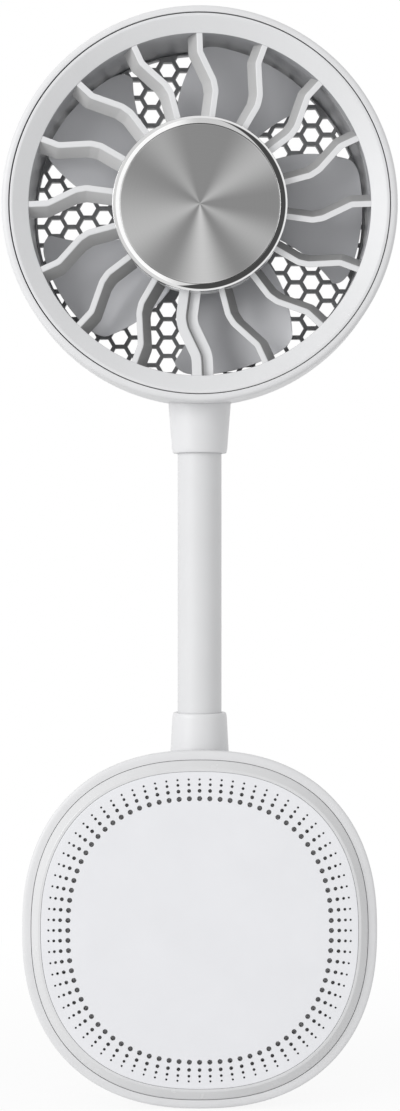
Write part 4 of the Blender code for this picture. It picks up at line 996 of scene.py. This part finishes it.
def make_hub_trim():
    """Bevelled ring on the cup, and the spun disc that lies in it."""
    bore = DISC_RADIUS + TRIM_GAP
    ledge = DISC_BACK + SEAM_GAP
    profile = [
        (TRIM_RADIUS, TRIM_BACK),
        (TRIM_RADIUS, TRIM_FRONT + TRIM_SIDE, TRIM_ROUND),
        (TRIM_RADIUS - TRIM_SIDE / 2, TRIM_FRONT, TRIM_ROUND / 2),
        (TRIM_RADIUS - TRIM_RIM_WIDTH, TRIM_FRONT, TRIM_ROUND / 2),
        (bore, TRIM_FRONT + TRIM_BAND_DIP, TRIM_ROUND / 2),
        (bore, ledge), (bore - TRIM_LEDGE, ledge), (bore - TRIM_LEDGE, TRIM_BACK),
    ]
    ring = new_solid("hub_trim_ring_skin", [turned(profile)], TRIM_PLACE)
    dress(ring, "chrome", "head", "hub_trim_ring")
    shares = [step / DISC_STEPS for step in range(DISC_STEPS + 1)]
    face = [(DISC_RADIUS * share, DISC_FRONT + DISC_CROWN * share ** 2) for share in shares]
    face[-1] = (*face[-1], DISC_EDGE_ROUND)
    profile = face + [(DISC_RADIUS, DISC_BACK), (0.0, DISC_BACK)]
    disc = new_solid("hub_disc_skin", [turned(profile, closed=False)], TRIM_PLACE)
    dress(disc, "spun_metal", "head", "hub_disc")


# Rotor


def blade_point(across_share, along_share, behind):
    """A point of one blade; across runs with the turn, along runs out to the tip."""
    front = ROTOR_FRONT + BLADE_FRONT_STEP
    rear = MESH_FRONT - BLADE_REAR_ROOM - BLADE_THICKNESS
    root = HUB_RADIUS - HUB_WALL / 2
    tip = DUCT_RADIUS - BLADE_TIP_GAP
    edge = min(across_share, 1 - across_share) / BLADE_CORNER_SHARE
    if edge < 1:
        tip -= BLADE_CORNER * (1 - sqrt(1 - (1 - edge) ** 2))
    radius = root + (tip - root) * along_share
    start_deg = BLADE_START_DEG + BLADE_SWEEP_DEG * along_share ** BLADE_SWEEP_POWER
    turn = radians(start_deg + (BLADE_SPAN_DEG - BLADE_TAPER_DEG * along_share) * across_share)
    pitch_share = 1 - (1 - across_share) ** BLADE_PITCH_POWER
    return (radius, turn, front + (rear - front) * pitch_share + behind)


def blade_body(start):
    """One blade as rings round its section, whose front and rear edges are rounded."""
    shares = [(1 - cos(pi * step / BLADE_COLUMNS)) / 2 for step in range(BLADE_COLUMNS + 1)]
    half = BLADE_THICKNESS / 2
    rings = []
    for row in range(BLADE_ROWS + 1):
        along_share = sin(pi / 2 * row / BLADE_ROWS)
        front = []
        back = []
        for share in shares:
            swell = half * sqrt(1 - abs(2 * share - 1) ** BLADE_EDGE_POWER * BLADE_EDGE_CUT)
            front.append(blade_point(share, along_share, half - swell))
            back.append(blade_point(share, along_share, half + swell))
        rings.append([
            (radius * sin(turn + start), depth, radius * cos(turn + start))
            for radius, turn, depth in front + back[::-1]
        ])
    return (rings, "strip")


def make_impeller():
    """Hub cup with swept blades that are pitched from front to rear."""
    front = ROTOR_FRONT
    back = front + HUB_DEPTH
    hub = [
        (0.0, front),
        (HUB_RADIUS, front, HUB_ROUND),
        (HUB_RADIUS, back, EDGE_ROUND),
        (HUB_RADIUS - HUB_WALL, back, EDGE_ROUND),
        (HUB_RADIUS - HUB_WALL, front + HUB_WALL),
        (0.0, front + HUB_WALL),
    ]
    impeller = new_solid("impeller_skin", [turned(hub, False, HEAD_SIDES // 2)], HEAD_PLACE)
    blades = [blade_body(2 * pi * step / BLADE_COUNT) for step in range(BLADE_COUNT)]
    shape_by(impeller, "UNION", blades, HEAD_PLACE)
    dress(impeller, "blade_grey", "rotor", "impeller")


# Rear grille


def hexagon(centre, width):
    """Hexagon with flat top and bottom, of the given width across flats."""
    reach = width / sqrt(3)
    turns = [pi * step / 3 for step in range(6)]
    return [(centre[0] + reach * cos(turn), centre[1] + reach * sin(turn)) for turn in turns]


def clipped(outline, radius):
    """The part of an outline that lies within a radius of the axis, with its cut side bent to it."""
    made = []
    for step, there in enumerate(outline):
        here = outline[step - 1]
        inside_here = hypot(*here) <= radius
        inside_there = hypot(*there) <= radius
        if inside_here != inside_there:
            low, high = (0.0, 1.0) if inside_here else (1.0, 0.0)
            for _ in range(CLIP_ROUNDS):
                share = (low + high) / 2
                middle = [a + (b - a) * share for a, b in zip(here, there)]
                if hypot(*middle) <= radius:
                    low = share
                else:
                    high = share
            made.append((*middle, "cut"))
        if inside_there:
            made.append(there)
    points = []
    for step, point in enumerate(made):
        before = made[step - 1]
        if len(point) == 3 and len(before) == 3:
            first, last = (atan2(part[1], part[0]) for part in (before, point))
            sweep = remainder(last - first, 2 * pi)
            bits = ARC_BITS if abs(sweep) * radius > HEX_RIM else 1
            for bit in range(1, bits):
                turn = first + sweep * bit / bits
                points.append((radius * cos(turn), radius * sin(turn)))
        points.append(point[:2])
    return points


def outline_area(points):
    return abs(sum(a[0] * b[1] - a[1] * b[0] for a, b in zip(points, points[1:] + points[:1]))) / 2


def mesh_cells(inner, outer):
    """Outlines of the mesh's cells between two radii; those at the wall are cut by it."""
    column_pitch = HEX_PITCH * sqrt(3) / 2
    columns = ceil(outer / column_pitch)
    rows = ceil(outer / HEX_PITCH)
    width = HEX_PITCH - HEX_WEB
    cells = []
    for column in range(-columns, columns + 1):
        lift = HEX_PITCH / 2 if column % 2 else 0.0
        for row in range(-rows - 1, rows + 1):
            centre = (column * column_pitch, row * HEX_PITCH + lift)
            if hypot(*centre) < inner + width / sqrt(3):
                continue
            cell = clipped(hexagon(centre, width), outer)
            if len(cell) > 2 and outline_area(cell) > HEX_SLIVER ** 2:
                cells.append(cell)
    return cells


def make_rear_grille():
    """Disc with a hexagon mesh round the plate that carries the motor."""
    disc = [
        (0.0, MESH_BACK), (PLATE_RADIUS - PLATE_STEP, MESH_BACK), (MESH_RADIUS, MESH_BACK),
        (MESH_RADIUS, MESH_FRONT), (0.0, MESH_FRONT),
    ]
    grille = new_solid("rear_grille_skin", [turned(disc, closed=False)], HEAD_PLACE)
    outlines = mesh_cells(PLATE_RADIUS, MESH_RADIUS - HEX_RIM)
    cells = [prism(cell, MESH_FRONT - OVERRUN, MESH_BACK + OVERRUN, "Y") for cell in outlines]
    shape_by(grille, "DIFFERENCE", cells, HEAD_PLACE)
    dress(grille, "mesh_grey", "head", "rear_grille")
    paint_where(grille, "duct_grey_and_seam_shade", on_mesh_rim)
    for number in range(1, SCREW_COUNT + 1):
        turn = 2 * pi * (number - 0.5) / SCREW_COUNT
        across, up = swung(0.0, SCREW_CIRCLE, turn)
        make_screw(f"motor_screw_{number}", (across, RING_LEVEL + MESH_BACK, FAN_HEIGHT + up), turn)


def make_screw(name, place, turn):
    """Pan head with a cross recess, over the CAD screw's own head."""
    top = GAP + SCREW_HEAD_HEIGHT
    profile = [
        (0.0, GAP),
        (SCREW_HEAD_RADIUS, GAP, SCREW_SEAT_ROUND),
        (SCREW_HEAD_RADIUS, top, SCREW_HEAD_HEIGHT / 2),
        (0.0, top),
    ]
    head = new_solid(f"{name}_head", [turned(profile, False, SMALL_SIDES)], place)
    for long_turn in (turn, turn + pi / 2):
        bar = rectangle(SCREW_CROSS_WIDTH / 2, SCREW_CROSS_REACH)
        bar = [swung(across, up, long_turn) for across, up in bar]
        shape_by(head, "DIFFERENCE", [prism(bar, top - SCREW_SOCKET, top + OVERRUN, "Y")], place)
    dress(head, "steel", "head", name)


# Neck


def tube_section(name, radii, levels):
    """One stretch of a tube in the neck, hollow if it has a bore."""
    outer, bore = radii
    low, high = levels
    heights = [low + (high - low) * step / NECK_ROWS for step in range(NECK_ROWS + 1)]
    profile = [(outer, height) for height in heights]
    if bore:
        profile += [(bore, height) for height in reversed(heights)]
    else:
        profile = [(0.0, low)] + profile + [(0.0, high)]
    body = (turned_rings(profile, "Z", NECK_SIDES), "loop" if bore else "flat")
    return new_solid(name, [body], NECK_LINE)


def make_neck():
    """The sleeve and the cable, in one stretch for each joint."""
    joins = [STEM_FOOT + LINK_PITCH * number for number in range(1, LINK_COUNT)]
    bore = STEM_RADIUS - SLEEVE_WALL
    tubes = (
        ("sleeve", (STEM_RADIUS, bore), (SLEEVE_LOW, *joins, SLEEVE_HIGH), "sleeve_rubber"),
        ("cable", (CABLE_RADIUS, 0.0), (CABLE_LOW, *joins, CABLE_HIGH), "cable_black"),
    )
    for name, radii, levels, slot in tubes:
        for number in range(1, LINK_COUNT + 1):
            piece = tube_section(f"{name}_{number}", radii, levels[number - 1:number + 1])
            paint(piece, slot)
            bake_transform(piece)
            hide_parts(f"neck_{name}")


def collar_profile(foot_end, lip_end, exit_level):
    """Tapered collar from its inner end to its rounded lip; levels may run up or down."""
    foot_radius, foot = foot_end
    lip_radius, lip = lip_end
    way = 1 if lip > foot else -1
    ferrule_bore = STEM_RADIUS - SLEEVE_WALL
    sleeve_bore = STEM_RADIUS + GAP / 2
    return [
        (foot_radius, foot),
        (foot_radius, exit_level, SOFT_ROUND),
        (lip_radius, lip - way * COLLAR_LIP_BAND, COLLAR_LIP),
        (lip_radius - COLLAR_LIP_INSET, lip, COLLAR_LIP_INSET),
        (sleeve_bore, lip),
        (sleeve_bore, lip - way * (SLEEVE_TUCK + GAP)),
        (ferrule_bore, lip - way * (SLEEVE_TUCK + GAP)),
        (ferrule_bore, foot),
    ]


def make_collars():
    """The two tapered collars that hold the neck's ends."""
    pod_top = POD_HALF_HEIGHT - pod_tuck(NECK_PLACE - COVER_LEVEL)
    head_foot = FAN_HEIGHT - HEAD_RADIUS
    collars = (
        ("lower", "pod", (LOWER_RADIUS, LOWER_LOW), (LOWER_LIP_RADIUS, LOWER_HIGH), pod_top),
        ("upper", "head", (UPPER_RADIUS, UPPER_HIGH), (UPPER_LIP_RADIUS, UPPER_LOW), head_foot),
    )
    for end, body, foot_end, lip_end, exit_level in collars:
        profile = turned(collar_profile(foot_end, lip_end, exit_level), True, NECK_SIDES, "Z")
        collar = new_solid(f"{end}_collar_skin", [profile], NECK_LINE)
        dress(collar, "shell_white", body, f"{end}_collar")


# Pod


def pod_tuck(depth):
    """How far the pod's side has drawn in at a depth behind its widest line."""
    share = max(depth - POD_WIDEST_DEPTH, 0.0) / (SHELL_BACK - POD_WIDEST_DEPTH)
    return POD_TUCK * share ** 2


def socket_outline(growth):
    """Outline of the charging socket in (across, depth), grown on every side."""
    width = SOCKET_HIGH.x - SOCKET_LOW.x + 2 * growth
    height = SOCKET_HIGH.y - SOCKET_LOW.y + 2 * growth
    return [(across, SOCKET_PLACE + along) for along, across in stadium(width, height)]


def button_outline(growth):
    """Outline of the button about its middle, grown on every side."""
    return stadium(BUTTON_LENGTH + 2 * growth, BUTTON_WIDTH + 2 * growth)


def make_rear_shell():
    """Pod housing: rounded lip, tucked side, flat back and the pad's recess."""
    seam = SEAM_INSET - POD_SEAM_GAP / 2
    reach = (seam, POD_WIDEST_DEPTH - SEAM_DEPTH)
    lip = arc((seam, POD_WIDEST_DEPTH), reach, -90.0, -180.0, LIP_STEPS, LIP_POWER)
    lip[0] = (*lip[0], EDGE_ROUND)
    run = SHELL_BACK - POD_BACK_ROUND - POD_WIDEST_DEPTH
    depths = [POD_WIDEST_DEPTH + run * step / TUCK_STEPS for step in range(1, TUCK_STEPS + 1)]
    side = [(pod_tuck(depth), depth) for depth in depths]
    side[-1] = (*side[-1], POD_SIDE_ROUND)
    edge = PAD_INSET - SEAM_GAP
    back = [
        (pod_tuck(SHELL_BACK) + POD_BACK_ROUND / 2, SHELL_BACK, POD_BACK_ROUND / 2),
        (edge, SHELL_BACK, EDGE_ROUND),
        (edge, PAD_FRONT - GAP),
    ]
    seat = BEZEL_BACK + GAP
    floor = SHELL_BACK - POD_FLOOR
    middle = (seat + floor) / 2
    inside = [
        (pod_tuck(floor) + POD_WALL, floor), (pod_tuck(middle) + POD_WALL, middle),
        (pod_tuck(seat) + POD_WALL, seat + LEDGE_THICKNESS + LEDGE_WIDTH),
        (SEAM_INSET + BEZEL_SEAT, seat + LEDGE_THICKNESS),
        (SEAM_INSET + BEZEL_SEAT, seat), (seam, seat),
    ]
    outer = rounded(lip + side + back, closed=False)
    rings = squircle_rings(list(reversed(outer))) + squircle_rings(list(reversed(inside)))
    shell = new_solid("rear_shell_skin", [(rings, "flat")], POD_PLACE)
    top = POD_HALF_HEIGHT + OVERRUN
    shape_by(shell, "DIFFERENCE", [neck_bar(LOWER_RADIUS + SEAM_GAP, LOWER_LOW - OVERRUN, top)])
    foot = SOCKET_LOW.z
    slot = prism(socket_outline(SEAM_GAP), foot - OVERRUN, foot + POD_WALL * 2, "Z")
    shape_by(shell, "DIFFERENCE", [slot])
    outline = shifted(button_outline(SEAM_GAP), (BUTTON_PLACE, 0.0))
    slot = prism(outline, BUTTON_LOW.x - OVERRUN, POD_HALF_WIDTH + OVERRUN, "X")
    shape_by(shell, "DIFFERENCE", [slot])
    dress(shell, "shell_white", "pod", "rear_shell")


def raised(height, share=1.0):
    """Height on the cover, which is a little shorter and higher than the pod's own outline."""
    return height * (1 - share + share * COVER_SQUASH) + share * COVER_RISE


def bezel_share(inset):
    """How far the bezel follows the cover: not at its seam, fully at the cover, not under its ledge."""
    edge = SEAM_INSET + BEZEL_WIDTH
    grown = (inset - SEAM_INSET) / (BEZEL_WIDTH - BEZEL_RIM)
    left = (edge + LEDGE_THICKNESS - inset) / LEDGE_THICKNESS
    return max(0.0, min(1.0, grown, left))


def make_bezel():
    """Sloped ring between the shell's lip and the cover, with a ledge under the cover."""
    outer = SEAM_INSET + POD_SEAM_GAP / 2
    inner = SEAM_INSET + BEZEL_WIDTH - COVER_GAP / 2
    ledge = COVER_BACK + GAP
    profile = rounded([
        (outer, BEZEL_BACK),
        (outer, SEAM_DEPTH, EDGE_ROUND),
        (inner - BEZEL_RIM, BEZEL_RIM_DROP, EDGE_ROUND),
        (inner, 0.0, EDGE_ROUND / 2),
        (inner, ledge), (inner + LEDGE_THICKNESS, ledge),
        (inner + LEDGE_THICKNESS, BEZEL_BACK),
    ])
    rings = [
        [(x, level, raised(z, bezel_share(inset))) for x, level, z in ring]
        for (inset, _), ring in zip(profile, squircle_rings(profile))
    ]
    bezel = new_solid("bezel_ring_skin", [(rings, "loop")], POD_PLACE)
    dress(bezel, "bezel_white", "pod", "bezel_ring")


def hole_stations(inset, count):
    """Points and outward normals at even steps along the pod's outline."""
    outline = squircle(inset, count * STATION_STEPS)
    runs = [dist(here, there) for here, there in zip(outline, outline[1:] + outline[:1])]
    step_length = sum(runs) / count
    stations = []
    travelled = 0.0
    for here, run in zip(outline, runs):
        while len(stations) * step_length <= travelled + run / 2 and len(stations) < count:
            normal = [
                copysign(abs(part / half) ** (POD_POWER - 1) / half, part)
                for part, half in zip(here, (POD_HALF_WIDTH - inset, POD_HALF_HEIGHT - inset))
            ]
            size = hypot(*normal)
            stations.append((here, (normal[0] / size, normal[1] / size)))
        travelled += run
    return stations


def make_cover():
    """Flat front plate with four rows of holes, which shrink towards its edge."""
    inset = SEAM_INSET + BEZEL_WIDTH + COVER_GAP / 2
    profile = rounded([
        (inset, COVER_BACK),
        (inset, 0.0, COVER_EDGE),
        (inset + COVER_FLAT_INSET, 0.0),
    ], closed=False)
    rings = [[(x, level, raised(z)) for x, level, z in ring] for ring in squircle_rings(profile)]
    cover = new_solid("front_cover_skin", [(rings, "flat")], POD_PLACE)
    holes = []
    row_inset = HOLE_ROWS[0][0]
    for (across, along), normal in hole_stations(row_inset, HOLE_COLUMNS):
        for inset, radius in HOLE_ROWS:
            out = row_inset - inset
            centre = (across + normal[0] * out, raised(along + normal[1] * out))
            outline = shifted(circle(radius, HOLE_SIDES), centre)
            holes.append(prism(outline, -OVERRUN, COVER_BACK + OVERRUN, "Y"))
    shape_by(cover, "DIFFERENCE", holes, POD_PLACE)
    dress(cover, "cover_white", "pod", "front_cover")
    # The walls of the holes are painted grey: painted shade inside the holes
    paint_where(cover, "hole_wall_shade", in_hole)


def in_hole(face):
    """Whether a face of the cover is a wall of one of its holes."""
    rim = SEAM_INSET + BEZEL_WIDTH + COVER_FLAT_INSET
    up = (face.center.z - COVER_RISE) / COVER_SQUASH
    return abs(face.normal.y) < WALL_TURN and pod_share(face.center.x, up, rim) < 1


def make_pad():
    """Rubber pad in the recess of the pod's back, with a shallow groove near its edge."""
    inset = PAD_INSET + PAD_GROOVE_INSET
    depth = PAD_BACK - PAD_GROOVE_DEPTH
    profile = rounded([
        (PAD_INSET, PAD_FRONT),
        (PAD_INSET, PAD_BACK, PAD_EDGE),
        (inset, PAD_BACK, EDGE_ROUND),
        (inset, depth, EDGE_ROUND),
        (inset + PAD_GROOVE_WIDTH, depth, EDGE_ROUND),
        (inset + PAD_GROOVE_WIDTH, PAD_BACK, EDGE_ROUND),
        (inset + PAD_GROOVE_WIDTH * 2, PAD_BACK),
    ], closed=False)
    pad = new_solid("back_pad_skin", [(squircle_rings(profile), "flat")], POD_PLACE)
    dress(pad, "pad_rubber", "pod", "back_pad")


def side_surface(depth, height):
    """How far the pod's side lies from its middle, at a depth and a height."""
    half_width = POD_HALF_WIDTH - pod_tuck(depth)
    half_height = POD_HALF_HEIGHT - pod_tuck(depth)
    return half_width * (1 - abs(height / half_height) ** POD_POWER) ** (1 / POD_POWER)


def make_button():
    """Slot-shaped cap that follows the pod's side, rounded at its rim and dished."""
    middle = BUTTON_PLACE - COVER_LEVEL
    levels = [(0.0, None)]
    for bit in range(BUTTON_ROUND_STEPS + 1):
        turn = pi / 2 * bit / BUTTON_ROUND_STEPS
        levels.append((BUTTON_RIM * (1 - cos(turn)), BUTTON_RIM * (1 - sin(turn))))
    for bit in range(1, BUTTON_DISH_STEPS + 1):
        share = bit / BUTTON_DISH_STEPS
        inset = BUTTON_RIM + (BUTTON_WIDTH / 2 - BUTTON_RIM - EDGE_ROUND) * share
        levels.append((inset, BUTTON_DISH * share ** 2))
    rings = []
    for inset, sink in levels:
        ring = []
        for along, up in button_outline(-inset):
            across = BUTTON_LOW.x
            if sink is not None:
                across = side_surface(middle + along, up) - BUTTON_SINK - sink
            ring.append((across, middle + along, up))
        rings.append(ring)
    button = new_solid("power_button_skin", [(rings, "flat")], POD_PLACE)
    dress(button, "grille_white", "button", "power_button")


def make_socket():
    """Rounded steel shell of the charging socket, with its tongue."""
    outer = socket_outline(0.0)
    inner = socket_outline(-SOCKET_WALL)
    floor = SOCKET_HIGH.z - SOCKET_FLOOR
    low, high = SOCKET_LOW.z, SOCKET_HIGH.z
    levels = ((outer, high), (outer, low), (inner, low), (inner, floor))
    rings = [stand(outline, level, "Z") for outline, level in levels]
    socket = new_solid("usb_socket_skin", [(rings, "flat")])
    dress(socket, "steel", "pod", "usb_socket")
    outline = shifted(rectangle(TONGUE_HALF_WIDTH, TONGUE_HALF_THICKNESS), (0.0, SOCKET_PLACE))
    tongue = new_solid("usb_tongue", [prism(outline, SOCKET_LOW.z + TONGUE_SINK, floor, "Z")])
    paint(tongue, "inner_black")
    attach(tongue, "pod")


# Inside pieces, camera and light


SLOT_NODES = {
    "steel": ("link", "ferrule", "pod_screw", "rotor_bell", "motor_shaft", "stator_core", "bearing"),
    "magnet_black": ("rotor_magnet",),
    "copper": ("stator_windings",),
    "board_green": ("main_board", "switch_board", "motor_board"),
    "inner_black": ("dust_screen", "battery_tray", "tact_switch", "motor_mount"),
    "cell_wrap": ("battery_cell",),
}


def paint_inside():
    """Give each node that keeps its own mesh its finish."""
    for name, part in frame["nodes"].items():
        for slot, words in SLOT_NODES.items():
            if any(word in name for word in words):
                finish = FINISHES["screen_grey" if name == "dust_screen" else slot]
                part.data.materials.clear()
                part.data.materials.append(finish)


def make_camera():
    data = bpy.data.cameras.new("camera")
    data.sensor_fit = "AUTO"
    data.sensor_width = SENSOR_MM
    data.lens = CAMERA_LENS_MM
    camera = add_object("camera", data)
    camera.location = (CAMERA_ASIDE, RING_LEVEL - CAMERA_DISTANCE, CAMERA_HEIGHT)
    camera.rotation_euler = (pi / 2, 0.0, 0.0)
    bpy.context.scene.camera = camera


def make_key_light():
    """Large soft lamp before the fan, to its upper left."""
    off_axis = radians(KEY_OFF_AXIS_DEG)
    across, up = swung(0.0, sin(off_axis), radians(KEY_CLOCK_DEG))
    way = Vector((across, -cos(off_axis), up))
    data = bpy.data.lights.new("key", "AREA")
    data.shape = "DISK"
    data.size = KEY_SIZE
    data.energy = KEY_POWER
    lamp = add_object("key", data)
    lamp.location = Vector((0.0, 0.0, FAN_HEIGHT / 2)) + way * KEY_DISTANCE
    lamp.rotation_euler = (-way).to_track_quat("-Z", "Y").to_euler()


def seen_share(tree):
    """1 for rays that show the backdrop: from the camera, in gloss and through glass."""
    ray = node(tree, "LightPath").outputs
    seen = calc(tree, "MAXIMUM", ray["Is Camera Ray"], ray["Is Glossy Ray"])
    return calc(tree, "MAXIMUM", seen, ray["Is Transmission Ray"])


def make_world():
    """White where it shows, and a softer level where it lights."""
    world = bpy.data.worlds.new("backdrop")
    world.use_nodes = True
    tree = world.node_tree
    shader = tree.nodes["Background"]
    shader.inputs["Color"].default_value = grey(1.0)
    tree.links.new(spread(tree, seen_share(tree), AMBIENT, 1.0), shader.inputs["Strength"])
    bpy.context.scene.world = world


def make_floor():
    """Pale floor under the pod, which shows nearly white but keeps the shadow."""
    made, tree, shader = new_material("floor", FLOOR_ROUGHNESS)
    mottled(tree, shader, FLOOR_COLOR, size=0.3, depth=0.01)
    shader.inputs["Specular IOR Level"].default_value = 0.0
    glow = node(tree, "Emission", {"Strength": 1.0})
    away = vector(tree, "LENGTH", place_output(tree), result="Value")
    level = spread(tree, away, FLOOR_CAMERA_SHARE, 1.0, end=FLOOR_SHADE_REACH, way="SMOOTHSTEP")
    share = calc(tree, "MULTIPLY", seen_share(tree), level)
    both = node(tree, "MixShader", {0: share, 1: shader.outputs[0], 2: glow.outputs[0]})
    output = next(item for item in tree.nodes if item.type == "OUTPUT_MATERIAL")
    tree.links.new(both.outputs[0], output.inputs["Surface"])
    edit = bmesh.new()
    bmesh.ops.create_grid(edit, x_segments=2, y_segments=2, size=FLOOR_REACH)
    bmesh.ops.translate(edit, verts=edit.verts, vec=(0.0, 0.0, -POD_HALF_HEIGHT - FLOOR_CLEARANCE))
    floor = add_mesh("floor", edit)
    floor.data.materials.append(made)


make_head_shell()
make_front_grille()
make_hub_trim()
make_impeller()
make_rear_grille()
make_neck()
make_collars()
make_rear_shell()
make_bezel()
make_cover()
make_pad()
make_button()
make_socket()
paint_inside()
make_camera()
make_key_light()
make_world()
make_floor()
bpy.context.scene.view_settings.view_transform = "Standard"
